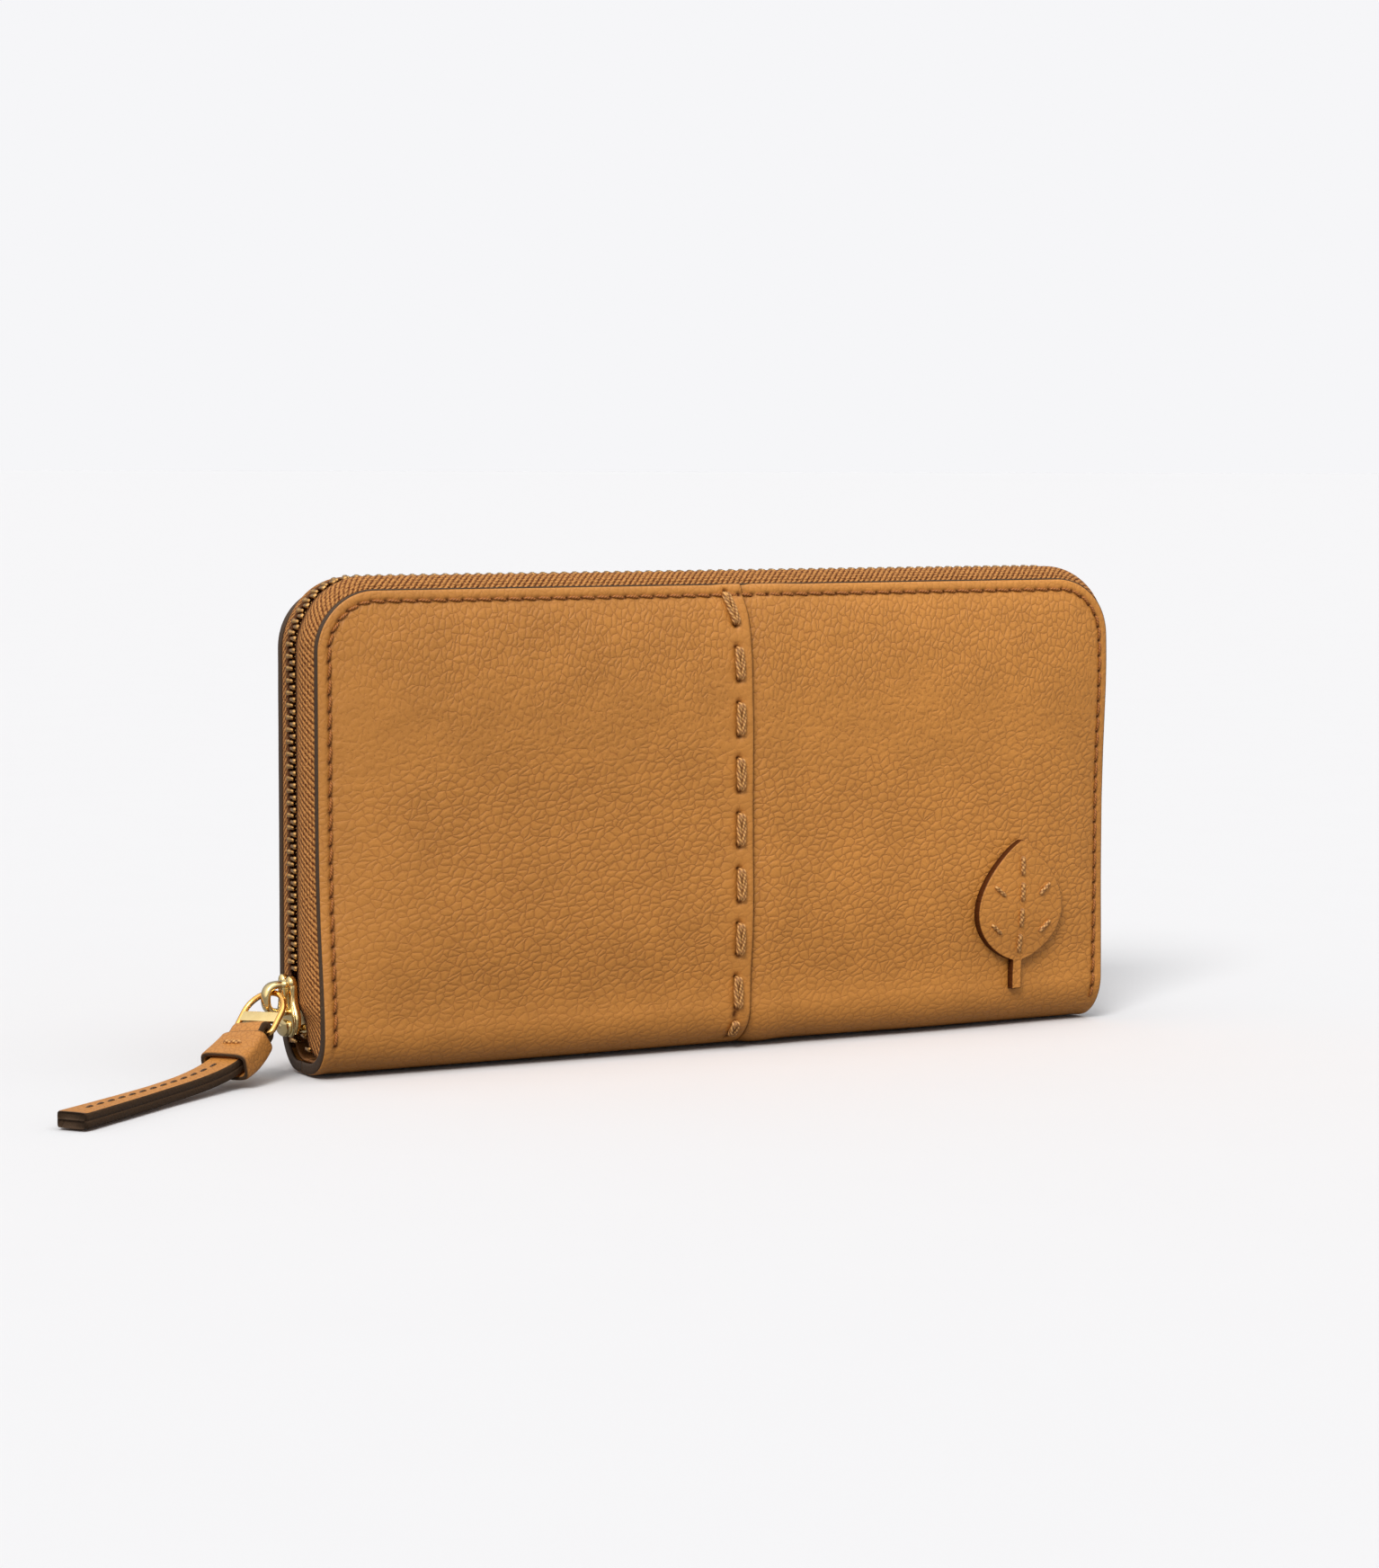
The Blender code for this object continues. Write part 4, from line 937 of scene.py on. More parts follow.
def tape(name, side):
    """A woven tape: tucked flat behind the leather, then arching out to the chain."""
    low, high = -4.6, ZIP_LENGTH + 3.6
    s = np.concatenate([np.arange(low, high, 0.9), [high]])
    base, normal = zip_at(s)
    profile = np.linspace(lowest(side), HEIGHT, 240)
    out, away = free_edge(s)
    lines = []
    for k, point in enumerate(base):
        y, z = base_profile(side, point[0], profile)
        tuck = abs(np.interp(point[2], z, y)) - 1.6
        across = TAPE_TUCK + (out[k] - TAPE_TUCK) * np.array(TAPE_OUT[side])
        across[0] = TAPE_DEEP
        lines.append(chaikin(pairs(across, tuck + (1.95 + away[k] - tuck) * np.array(TAPE_AWAY)), 2))
    lines = np.array(lines)
    grids = []
    for section in strip_faces(lines, TAPE_HALF):
        point = base[:, None] + normal[:, None] * section[..., :1]
        point[..., 1] = side * section[..., 1]
        grids.append(point)
    uv = pairs(s[:, None], np.array([length_along(line) for line in lines]))
    # dark: painted shade along the toothed edge, in the chain's gaps
    dark = 0.9 * smooth(3.6, 2.3, lines[..., 1] - away[:, None])
    return solid(name, [shell(*grids, uv, {"dark": dark})], "tape")


# (away from the mid-plane, half length along the chain, half height) down one tooth
TOOTH_PROFILE = [(-0.62, 0.20, 0.34), (-0.50, 0.38, 0.60), (0.10, 0.44, 0.72), (0.60, 0.40, 0.70)]
TOOTH_PROFILE += [(0.90, 0.46, 0.78), (1.25, 0.56, 0.86), (1.80, 0.56, 0.86), (2.06, 0.50, 0.76)]
TOOTH_PROFILE += [(2.18, 0.30, 0.50)]


def tooth(s, side):
    """One cast tooth: a rounded head at the middle and a broad clamp on the tape's cord."""
    base, normal = zip_at(s)
    along = np.cross(normal, (0, 1, 0))
    out, away = free_edge(s)
    rings = []
    for y, half_along, half_out in TOOTH_PROFILE:
        ring = rounded(half_along, half_out, 12, 0.62)
        point = base + normal * out + np.array([0, side * (y + away), 0])
        rings.append(point + along * ring[:, :1] + normal * ring[:, 1:])
    return lofted(rings)


def teeth(name, side, low, high):
    return solid(name, [tooth(s, side) for s in np.arange(low, high, TOOTH_PITCH)], "teeth")


CHAIN_START = SLIDER_HIGH[2] - ZIP_FOOT + 0.9
CHAIN_END = ZIP_LENGTH - 3.6
for prefix, side in COVERS:
    offset = TOOTH_PITCH / 2 if side > 0 else 0.0
    chain = teeth(f"{prefix}_tooth_row", side, CHAIN_START + offset, CHAIN_END - offset)
    tail = teeth(f"{prefix}_tail_teeth", side, -3.4 + offset * 0.6, 1.2)
    cover_piece(chain, side, "gold", f"{prefix}_zip_teeth", span=TEETH_BEND)
    cover_piece(tape(f"{prefix}_woven_tape", side), side, "tape", f"{prefix}_zip_tape", span=TAPE_BEND)
    cover_piece(tail, side, "gold", span=TEETH_BEND)
STOP_LOW, STOP_HIGH = node_box("zip_end_stop")
stop = rounded_box((STOP_LOW + STOP_HIGH) / 2, (STOP_HIGH - STOP_LOW) / 2, 0.45)
place(solid("zip_stop", [stop], "teeth"), "back_cover", "gold", "zip_end_stop")


# ---- Slider ----
PLATE_OUT, PLATE_IN, PLATE_THICK = 2.55, -1.15, 0.75
OUTWARD = (-1, 0, 0)


def slider_points(u, v, w):
    """Points u up, v back and w out from the slider's middle, on the left side of the wallet."""
    u, v, w = np.broadcast_arrays(*(np.asarray(c, float) for c in (u, v, w)))
    return np.stack([-(HALF_WIDTH + w), v, SLIDER_Z - 0.8 + u], -1)


def button(outline, low, high, dome, radius=0.28):
    """A plate with rounded rims and a domed face."""
    outline = chaikin(outline, 2, True)
    steps = [(0.02, low), (0.6, low), (0.92, low), (0.975, low + radius * 0.35), (1.0, low + radius)]
    steps += [(1.0, high - radius), (0.975, high - radius * 0.35), (0.93, high), (0.8, high + dome * 0.4)]
    steps += [(0.6, high + dome * 0.72), (0.35, high + dome * 0.93), (0.02, high + dome)]
    middle = outline.mean(0)
    rings = []
    for scale, w in steps:
        ring = middle + (outline - middle) * scale
        rings.append(slider_points(ring[:, 1], ring[:, 0], w))
    return lofted(rings)


def plate_outline(grow=0.0):
    """(v, u) round a slider plate: a narrow tail above, shoulders and two rounded lobes below."""
    half = [(0.0, 5.2), (1.3, 5.7), (2.7, 5.6), (3.3, 4.4), (3.2, 2.0), (3.9, -0.2), (4.9, -2.4), (4.8, -4.4)]
    half += [(3.6, -6.0), (1.7, -6.4), (0.0, -6.1)]
    outline = np.array(half + [(-v, u) for v, u in half[-2:0:-1]])
    return outline * (1 + grow)


def slider():
    outer = button(plate_outline(), PLATE_OUT, PLATE_OUT + PLATE_THICK, 0.30)
    inner = button(plate_outline(-0.03), PLATE_IN, PLATE_IN + PLATE_THICK, 0.0)
    angle = circle(28)
    rise = 1.3 * np.clip(np.sin(angle), 0, None) ** 0.4 + 2.4 * np.clip(np.sin(angle), None, 0)
    nose = pairs(3.7 * np.cos(angle), -4.0 + rise)
    groups = [outer, inner, button(nose, PLATE_OUT + 0.3, PLATE_OUT + 1.5, 0.4, 0.5)]
    for side in (-1, 1):
        u = np.linspace(-5.4, 5.4, 27)
        swell = np.sqrt(np.clip(1 - (np.abs(u) / 5.45) ** 4, 0.02, 1))
        v = side * (2.75 + 1.9 * smooth(1.8, -2.4, u) - 1.0 * smooth(-3.0, -5.4, u))
        line = slider_points(u, v, PLATE_OUT - 0.15)
        groups.append(swept(line, OUTWARD, rounded(0.60, 0.72, 16, 0.6), scale=0.5 + 0.5 * swell))
        lump = pairs(side * 2.0 + 1.35 * np.cos(angle), 4.9 + 1.35 * np.sin(angle))
        groups.append(button(lump, PLATE_OUT - 0.5, PLATE_OUT + PLATE_THICK, 0.35, 0.45))
    divider = slider_points(np.linspace(-5.6, -4.2, 7), 0.0, (PLATE_OUT + PLATE_IN + PLATE_THICK) / 2)
    section = rounded(0.75, (PLATE_OUT - PLATE_IN) / 2, 16, 0.7)
    groups.append(swept(divider, OUTWARD, section, scale=[0.5, 0.8, 0.95, 1, 1, 0.9, 0.7]))
    return solid("slider_shell", groups, "gold")


def lug():
    """The arched lug that the ring hangs in, standing on a rail along the slider's back."""
    low, high, out = -1.8, 4.9, 7.95
    middle, half, base = (low + high) / 2, (high - low) / 2 - 0.5, PLATE_OUT + 0.9
    angle = np.linspace(0, math.pi, 41)
    u = middle - half * np.sign(np.cos(angle)) * np.abs(np.cos(angle)) ** 0.8
    w = base + (out - 0.5 - base) * np.sin(angle) ** 0.5
    groups = [swept(slider_points(u, 0.0, w), (0, 1, 0), rounded(0.75, 1.45, 16, 0.6))]
    for side in (-1, 1):
        rail = slider_points(np.linspace(low - 0.1, high + 0.1, 15), side * 0.86, PLATE_OUT + 1.15)
        ends = np.sqrt(np.clip(1 - np.linspace(-1, 1, 15) ** 6, 0.1, 1))
        groups.append(swept(rail, OUTWARD, rounded(0.36, 0.62, 12, 0.6), scale=ends))
    floor = slider_points(np.linspace(low, high, 5), 0.0, PLATE_OUT + 0.85)
    groups.append(swept(floor, OUTWARD, rounded(0.8, 0.3, 12, 0.5)))
    return solid("slider_lug", groups, "gold")


place(slider(), "zip_slider", "gold", "slider_body")
place(lug(), "zip_slider", "gold", "slider_bridge")


# ---- Pull ring ----
RING_ARCH, RING_HALF_WIDTH, RING_WIRE = 4.9, 5.1, 0.62
RING_DOWN = unit(RING_BAR - RING_TOP)
RING_LENGTH = float(np.linalg.norm(RING_BAR - RING_TOP))
RING_OUT = unit(np.cross(RING_ACROSS, RING_DOWN))


def ring_point(down, across):
    down, across = (np.asarray(c, float)[..., None] for c in (down, across))
    return RING_TOP + RING_DOWN * down + RING_ACROSS * across


def ring_wire():
    """A D of round wire: an arch in the lug and a straight bar for the strap."""
    angle = np.linspace(0, math.pi, 41)
    arch = pairs(RING_ARCH * (1 - np.sin(angle)), -RING_HALF_WIDTH * np.cos(angle))
    turn, corner = 1.3, np.radians(np.linspace(90, 0, 8))
    foot = pairs(RING_LENGTH - turn + turn * np.cos(corner), RING_HALF_WIDTH - turn + turn * np.sin(corner))
    loop = chaikin(np.concatenate([arch, foot, foot[::-1] * (1, -1)]), 1, True)
    section = RING_WIRE * pairs(np.cos(circle(16)), np.sin(circle(16)))
    wire = swept(ring_point(loop[:, 0], loop[:, 1]), RING_OUT, section, closed=True)
    return solid("ring_wire", [wire], "wire")


def ring_plate():
    axes = np.stack([RING_DOWN, RING_ACROSS, RING_OUT])
    return solid("ring_plate", [rounded_box(ring_point(6.1, 0.0), (1.2, 5.2, 0.52), 0.24, axes)], "gold")


place(ring_wire(), "pull_ring", "gold", "pull_ring")
place(ring_plate(), "pull_ring", "gold")


# ---- Strap ----
STRAP_TURN = math.radians(36.8)
STRAP_REACH = 65.5
END_Z, SAG, FALLS, TWIST = 1.65, 1.3, (8.0, 30.0), 7.0
STRAP_LEVEL = np.array([-math.cos(STRAP_TURN), -math.sin(STRAP_TURN), 0.0])


def strap_frame(reach):
    """Centre, along, across and up directions of the strap, reach mm from the ring's bar."""
    reach = np.asarray(reach, float)
    steep = (RING_BAR[2] - END_Z - SAG) * np.exp(-reach / FALLS[0])
    slow = SAG * np.exp(-reach / FALLS[1])
    centre = np.stack([RING_BAR[0] + 0 * reach, RING_BAR[1] + 0 * reach, END_Z + steep + slow], -1)
    centre = centre + STRAP_LEVEL * reach[..., None]
    fall = (steep / FALLS[0] + slow / FALLS[1])[..., None]
    along = unit(STRAP_LEVEL - np.array([0, 0, 1.0]) * fall)
    share = bell(reach, TWIST)[..., None]
    across = unit(RING_ACROSS * share + np.array([-STRAP_LEVEL[1], STRAP_LEVEL[0], 0]) * (1 - share))
    up = unit(np.cross(along, across))
    return centre, along, np.cross(along, up), up


def strap_half_width(reach):
    start, waist, end = 4.1, 2.75, 3.55
    share = np.asarray(reach, float) / STRAP_REACH
    grown = np.sin(np.minimum(share / 0.55, 1) * math.pi / 2)
    return start + (waist - start) * grown + (end - waist) * np.maximum(0, (share - 0.55) / 0.45)


# (across, up) round one layer of the strap, as shares of its half width and half thickness
STRAP_SECTION = [(-0.4, -1.02), (-0.94, -1.02), (-0.995, -0.98), (-1, -0.3), (-1, 0.4), (-0.97, 0.8)]
STRAP_SECTION += [(-0.925, 0.95), (-0.90, 0.98), (-0.6, 1.05), (-0.2, 1.07)]
STRAP_SECTION = np.array(STRAP_SECTION + [(-v, t) for v, t in STRAP_SECTION[::-1]])


def strap():
    """One strip folded round the ring's bar, its two layers lying together, with painted sides."""
    half = 0.79
    flat = np.concatenate([np.linspace(STRAP_REACH, 12, 60), np.linspace(11.5, 2.2, 18)])
    blocks = []
    for sign, run in ((-1, flat), (1, flat[::-1])):
        centre, _, across, up = strap_frame(run)
        offset = 0.74 + 0.83 * smooth(5.5, 2.0, run)
        tip = np.sqrt(np.clip(1 - ((run - (STRAP_REACH - 1.6)) / 1.65).clip(0) ** 2, 0.08, 1))
        width = strap_half_width(run) * (0.8 + 0.2 * tip)
        end = smooth(STRAP_REACH - 0.7, STRAP_REACH - 0.2, run)
        blocks.append((centre + up * sign * offset[:, None], across, up * sign, width, end))
    centre, along, across, up = (v[0] for v in strap_frame(np.array([0.0])))
    turn = np.linspace(-math.pi / 2, -3 * math.pi / 2, 15)[1:-1, None]
    direction = up * np.sin(turn) + along * np.cos(turn)
    bar = centre + along * 0.3 + direction * 1.62
    width = np.full(len(bar), strap_half_width(0.0) * 0.97)
    blocks.insert(1, (bar, np.broadcast_to(across, bar.shape), direction, width, 0 * width))
    points, sides, ups, widths, ends = (np.concatenate(values) for values in zip(*blocks))
    v, t = STRAP_SECTION[:, 0], STRAP_SECTION[:, 1]
    rings = points[:, None] + sides[:, None] * (widths[:, None] * v)[..., None]
    rings = rings + ups[:, None] * (half * t)[None, :, None]
    dark = np.maximum((np.abs(v) > 0.915)[None, :] * 1.0, ends[:, None])
    return solid("folded_strap", [lofted(rings, marks={"dark": dark})], "strap")


def strap_stitches():
    groups = []
    for start in np.arange(13.5, STRAP_REACH - 4.5, 3.7):
        t = np.linspace(0, 1, 9)
        centre, _, _, up = strap_frame(start + 2.6 * t)
        lift = 1.60 - 0.3 * np.abs(2 * t - 1) ** 4
        groups.append(stitch(centre + up * lift[:, None], up, rounded(0.34, 0.27, 8, 1.0), 0.45))
    return groups


KEEPER_START, KEEPER_END = 1.7, 11.0
KEEPER_HALF_WIDTH, KEEPER_HALF_THICK, KEEPER_WALL = 4.5, 2.0, 0.95


def keeper():
    """A leather loop round both layers of the strap, with painted ends."""
    reach = np.linspace(KEEPER_START, KEEPER_END, 34)
    centre, _, across, up = strap_frame(reach)
    inset = np.minimum(reach - KEEPER_START, KEEPER_END - reach)
    roll = 0.22 * (1 - np.sqrt(np.clip(inset / 0.5, 0, 1)))
    swell = np.sin(math.pi * (reach - KEEPER_START) / (KEEPER_END - KEEPER_START))
    ring = rounded(1.0, 1.0, 44, 0.42)
    grids = []
    for grow, shrink, full in ((KEEPER_WALL, roll, 1), (0.0, -roll, 0)):
        half_w = KEEPER_HALF_WIDTH + grow - shrink + 0.12 * swell * full
        half_t = KEEPER_HALF_THICK + grow - shrink + 0.18 * swell * full
        grid = centre[:, None] + across[:, None] * (half_w[:, None] * ring[:, 0])[..., None]
        grids.append(grid + up[:, None] * (half_t[:, None] * ring[:, 1])[..., None])
    rings = np.concatenate([grids[0], grids[1][::-1]])
    dark = np.broadcast_to(smooth(0.34, 0.16, inset)[:, None], grids[0].shape[:2])
    marks = {"dark": np.concatenate([dark, dark[::-1]])}
    return solid("leather_keeper", [lofted(rings, closed=True, marks=marks)], "strap")


def keeper_stitch():
    """One short cord stitch across the top of the keeper."""
    t = np.linspace(-1, 1, 25)
    centre, _, across, up = strap_frame(np.full(t.shape, 6.3))
    lift = KEEPER_HALF_THICK + KEEPER_WALL + 0.38 - 0.75 * np.clip((np.abs(t) - 0.7) / 0.3, 0, 1) ** 2
    return small_cord(centre + across * (t * 2.2)[:, None] + up * lift[:, None], up, 0.42)


place(strap(), "pull_strap", "leather", "pull_strap")
place(solid("strap_stitches", strap_stitches(), "dark_thread"), "pull_strap", "leather")
place(solid("keeper_stitch", [keeper_stitch()], "cord"), "pull_strap", "leather")
place(keeper(), "pull_strap", "leather", "strap_keeper")


# ---- Leaf ornament ----
LEAF_X = (LEAF_LOW[0] + LEAF_HIGH[0]) / 2
LEAF_FOOT, LEAF_TIP, STEM_FOOT = 15.0, LEAF_HIGH[2], LEAF_LOW[2]
LEAF_HALF = (LEAF_HIGH[0] - LEAF_LOW[0]) / 2
LEAF_THICK = 1.75


def leaf_half(z):
    grown = np.clip((z - LEAF_FOOT) / (LEAF_TIP - LEAF_FOOT), 0, 1)
    blade = LEAF_HALF * np.sin(math.pi * grown**0.8).clip(0) ** 0.75
    stem = 1.3 * smooth(LEAF_FOOT + 3, LEAF_FOOT, z)
    return np.maximum(np.maximum(blade, stem), 0.3)


def leaf_top(x, z):
    """Height of the leaf's face over the leather: rolled at its rim and pressed along its midrib."""
    half = leaf_half(z)
    inside = half - np.abs(x - LEAF_X)
    h = LEAF_THICK - 0.45 * rim_drop(inside, 0.5)
    grown = np.clip((z - LEAF_FOOT) / (LEAF_TIP - LEAF_FOOT), 0, 1)
    h += 0.25 * np.clip(inside / LEAF_HALF, 0, 1) * np.sin(math.pi * grown)
    return h - 0.16 * bell(x - LEAF_X, 0.7)


def leaf():
    z = np.concatenate([np.linspace(STEM_FOOT, LEAF_FOOT, 24), np.linspace(LEAF_FOOT + 0.25, LEAF_TIP, 110)])
    share = np.sin(np.linspace(-math.pi / 2, math.pi / 2, 61))
    zz = np.broadcast_to(z[None, :], (len(share), len(z)))
    xx = LEAF_X + share[:, None] * leaf_half(zz)
    inside = leaf_half(zz) - np.abs(xx - LEAF_X)
    y, base_z = base_profile(-1, xx, zz)
    top = np.stack([xx, y - 0.15 - leaf_top(xx, zz), base_z], -1)
    bottom = np.stack([xx, y - 0.02, base_z], -1)
    ends = np.minimum(zz - STEM_FOOT, LEAF_TIP - zz)
    dark = np.maximum(smooth(0.30, 0.12, inside), smooth(0.3, 0.1, ends))
    uv = np.stack([xx + 40, zz], -1)
    calm = np.full(xx.shape, 0.35)
    return solid("leaf_leather", [shell(top, bottom, uv, {"dark": dark, "calm": calm})], "skin")


def leaf_stitch(x, z, radius):
    """A short cord stitch lying on the leaf between two points."""
    t = np.linspace(-1, 1, 21)
    xs, zs = ((low + high) / 2 + t * (high - low) / 2 for low, high in (x, z))
    y, base_z = base_profile(-1, xs, zs)
    lift = leaf_top(xs, zs) + 0.15 + radius * 0.5 - 0.9 * np.clip((np.abs(t) - 0.72) / 0.28, 0, 1) ** 2
    return small_cord(np.stack([xs, y - lift, base_z], -1), (0, -1, 0), radius)


def leaf_stitches():
    groups = [leaf_stitch((LEAF_X, LEAF_X), (low, low + 4.0), 0.52) for low in np.arange(17.0, 36.0, 5.8)]
    for z, reach in ((22.5, 0.62), (31.0, 0.58)):
        for side in (-1, 1):
            half = leaf_half(np.array(z)) * reach
            x = LEAF_X + side * half
            groups.append(leaf_stitch((x - side * 1.3, x + side * 1.3), (z - 1.1, z + 1.1), 0.44))
    return groups


place(leaf(), "front_cover", "leather", "leaf_ornament")
place(solid("leaf_stitches", leaf_stitches(), "cord"), "front_cover", "leather")


# ---- Linings, card sleeves, gussets ----
LINING_TOP = 98.5


def lining(name, side):
    """The lining leather of a cover, running down round the inside of the spine."""
    half, foot = HALF_WIDTH - 1.5, foot_of(side)
    columns = np.concatenate([[-half], np.linspace(-half + 0.5, half - 0.5, 120), [half]])
    rows = np.concatenate([np.linspace(lowest(side), foot, 24)[:-1], np.linspace(foot, LINING_TOP, 90)])
    x = np.broadcast_to(columns[:, None], (len(columns), len(rows)))
    a = fitted(rows[None, :], top_at(columns, 1.5)[:, None], LINING_TOP)
    y, z = base_profile(side, HALF_WIDTH, a)
    ny, nz = base_normal(side, HALF_WIDTH, a)
    ripple = 0.07 * noise(x, a, 9.0) - 0.05
    grids = [np.stack([x, y - ny * d, z - nz * d], -1) for d in (2.1 - ripple, 2.65 - ripple)]
    return solid(name, [shell(*grids, np.stack([x, a], -1))], "lining")


bend(lining("front_lining_leather", -1), "front_cover", *SPINE_BEND, "lining", "front_lining")
place(lining("back_lining_leather", 1), "back_cover", "lining", "back_lining", "spine_lining")
SHEET_STEP, SHEET_CORNER = 1.6, 3.0
SEAM_PITCH, SEAM_SECTION = 3.2, rounded(0.2, 0.17, 6, 1.0)
ACROSS_SHEET = (0, 1, 0)


def sheet(x_span, z_span, y_of, thickness, hem):
    """An upright sheet with rounded top corners and a hemmed top edge."""
    left, right = x_span
    foot, head = z_span
    x = np.arange(left, right + SHEET_STEP / 2, (right - left) / round((right - left) / SHEET_STEP))
    z = np.concatenate([np.arange(foot, head - 3, SHEET_STEP), np.linspace(head - 2.6, head, 9)])
    past = np.maximum(0, SHEET_CORNER - np.minimum(x - left, right - x))
    top = (head - SHEET_CORNER + np.sqrt(np.maximum(0, SHEET_CORNER**2 - past**2)))[:, None]
    xx = np.broadcast_to(x[:, None], (len(x), len(z)))
    zz = foot + (z[None, :] - foot) * (top - foot) / (head - foot)
    below = top - zz
    round_off = np.sqrt(np.clip(1 - (1 - below / 0.35).clip(0) ** 2, 0.05, 1))
    half = (thickness / 2 + hem * (bell(below - 1.0, 0.8) - 0.5 * bell(below - 2.4, 0.5))) * round_off
    y = y_of(xx, zz)
    faces = [np.stack([xx, y + shift, zz], -1) for shift in (-half, half)]
    return shell(*faces, pairs(xx, zz))


def sheet_stitches(low, high, y, z):
    """A row of stitches along x."""
    t = np.linspace(0, 1, 7)
    starts = np.arange(low, high, SEAM_PITCH)
    lines = [np.stack([start + t * 2.3, y + 0 * t, z + 0 * t], -1) for start in starts]
    return [stitch(line, ACROSS_SHEET, SEAM_SECTION, 0.6) for line in lines]


for prefix, side in COVERS:
    body = "back_cover" if side > 0 else "front_cover"
    seams = []
    for k in range(1, 5):
        low, high = node_box(f"{prefix}_card_pocket_{k}")
        middle = (low[1] + high[1]) / 2
        inner_y = middle - side * 0.24

        def waved(x, z):
            return middle + 0.05 * side * noise(x, z, 13.0)

        sleeve = sheet((low[0], high[0]), (low[2], high[2]), waved, 0.42, 0.09)
        obj = solid(f"{prefix}_card_sleeve_{k}", [sleeve], "lining")
        place(obj, body, "lining", f"{prefix}_card_pocket_{k}")
        seams += sheet_stitches(low[0] + 4, high[0] - 5, inner_y, high[2] - 2.4)
        # the seam that parts two stacks of cards
        t = np.linspace(0, 1, 7)
        for z in np.arange(high[2] - 9.8, high[2] - 3.2, SEAM_PITCH) if k < 4 else ():
            line = np.stack([0 * t, inner_y + 0 * t, z + t * 2.2], -1)
            seams.append(swept(line, ACROSS_SHEET, SEAM_SECTION))
    place(solid(f"{prefix}_sleeve_stitches", seams, "thread"), body, "lining")

# The gussets: each side has four leaves that run from a cover or the coin pocket (x 90) to a fold (x 70).
PLEAT_X = (90, 84, 78, 71, 70)
NEAR_FOLD, NEAR_MIDDLE = (4.25, 4.27, 4.2, 4.12, 3.9), (3.55, 3.53, 3.6, 3.68, 3.9)
PLEAT_FOOT, PLEAT_TOP, PLEAT_HALF = 12, 90, 0.17
PLEAT_LEAVES = (
    # name, node, body, side, y along the path, and two x values
    ("rear_{}_pleat_1", "rear_{}_gusset", "coin_pocket", 1, NEAR_FOLD, 90, 50),
    ("rear_{}_pleat_2", None, "coin_pocket", 1, NEAR_MIDDLE, 50, 90),
    ("front_{}_pleat_2", None, "front_cover", -1, NEAR_MIDDLE, 147.6, 32.4),
    ("front_{}_pleat_1", "front_{}_gusset", "front_cover", -1, NEAR_FOLD, 28.7, 90),
)
for label, node, mover, side, pleat_y, start, end in PLEAT_LEAVES:
    for word, flank in (("left", -1), ("right", 1)):
        line = chaikin(pairs(np.array(PLEAT_X, float), side * np.array(pleat_y)), 2) * (flank, 1)
        z = np.linspace(PLEAT_FOOT, PLEAT_TOP, 40)
        grids = []
        for path in strip_faces(line, PLEAT_HALF):
            x, y, zz = np.broadcast_arrays(path[:, None, 0], path[:, None, 1], z)
            grids.append(np.stack([x, y + 0.05 * noise(x, zz, 12.0), zz], -1))
        leaf_sheet = shell(*grids, pairs(length_along(line)[:, None], z))
        nodes = [node.format(word)] if node else []
        ends = [(flank * x * MM, 0, 0) for x in (start, end)]
        bend(solid(label.format(word), [leaf_sheet], "lining"), mover, *ends, "lining", *nodes)


# ---- Coin pocket ----
COIN_ZIP_TOP = 79.2
WALL_Y, TAPE_END_INSET, COIL_RADIUS, COIL_PITCH = 2.7, 4.3, 0.42, 1.2


def coin_side(word, side):
    """One wall of the coin pocket with its half of the small zip; returns its stitches."""
    (left, _, low), (right, _, high) = COIN_LOW, COIN_HIGH

    def wall_y(x, z):
        edge = np.minimum(np.minimum(x - left, right - x), z - low)
        return side * (WALL_Y + 0.12 * noise(x, z, 16.0) * smooth(2, 10, edge))

    wall = solid(f"coin_pocket_{word}_leather", [sheet((left, right), (low, high), wall_y, 0.55, 0.08)], "lining")
    place(wall, "coin_pocket", "lining", f"coin_pocket_{word}_wall")
    y = np.array([2.0, 2.0, 2.0, 1.9, 1.75]) * side
    line = chaikin(pairs(y, np.array([high - 6.0, high - 2, high + 0.4, high + 1.4, COIN_ZIP_TOP])), 2)
    x = np.linspace(left + TAPE_END_INSET, right - TAPE_END_INSET, 170)[:, None]
    grids = [np.stack(np.broadcast_arrays(x, path[:, 0], path[:, 1]), -1) for path in strip_faces(line, 0.14)]
    cloth = solid(f"coin_tape_{word}", [shell(*grids, pairs(x, length_along(line)))], "tape")
    place(cloth, "coin_pocket", "tape", f"coin_zip_tape_{word}")
    coil_low, coil_high = node_box(f"coin_zip_coil_{word}")
    turns = (coil_high[0] - coil_low[0]) / COIL_PITCH
    t = np.linspace(0, 1, int(turns * 10))
    angle = 2 * math.pi * turns * t + (math.pi if side > 0 else 0)
    _, y, z = (coil_low + coil_high) / 2
    run = coil_low[0] + (coil_high[0] - coil_low[0]) * t
    helix = np.stack([run, y + COIL_RADIUS * np.cos(angle), z + COIL_RADIUS * np.sin(angle)], -1)
    coil = solid(f"coin_coil_{word}", [swept(helix, (1, 0.01, 0), rounded(0.24, 0.24, 6, 1.0))], "nylon")
    place(coil, "coin_pocket", "coil", f"coin_zip_coil_{word}")
    top_row = sheet_stitches(left + 3, right - 4, side * 3.02, high - 2.4)
    return top_row + sheet_stitches(left + 3, right - 4, side * 3.0, low + 1.8)


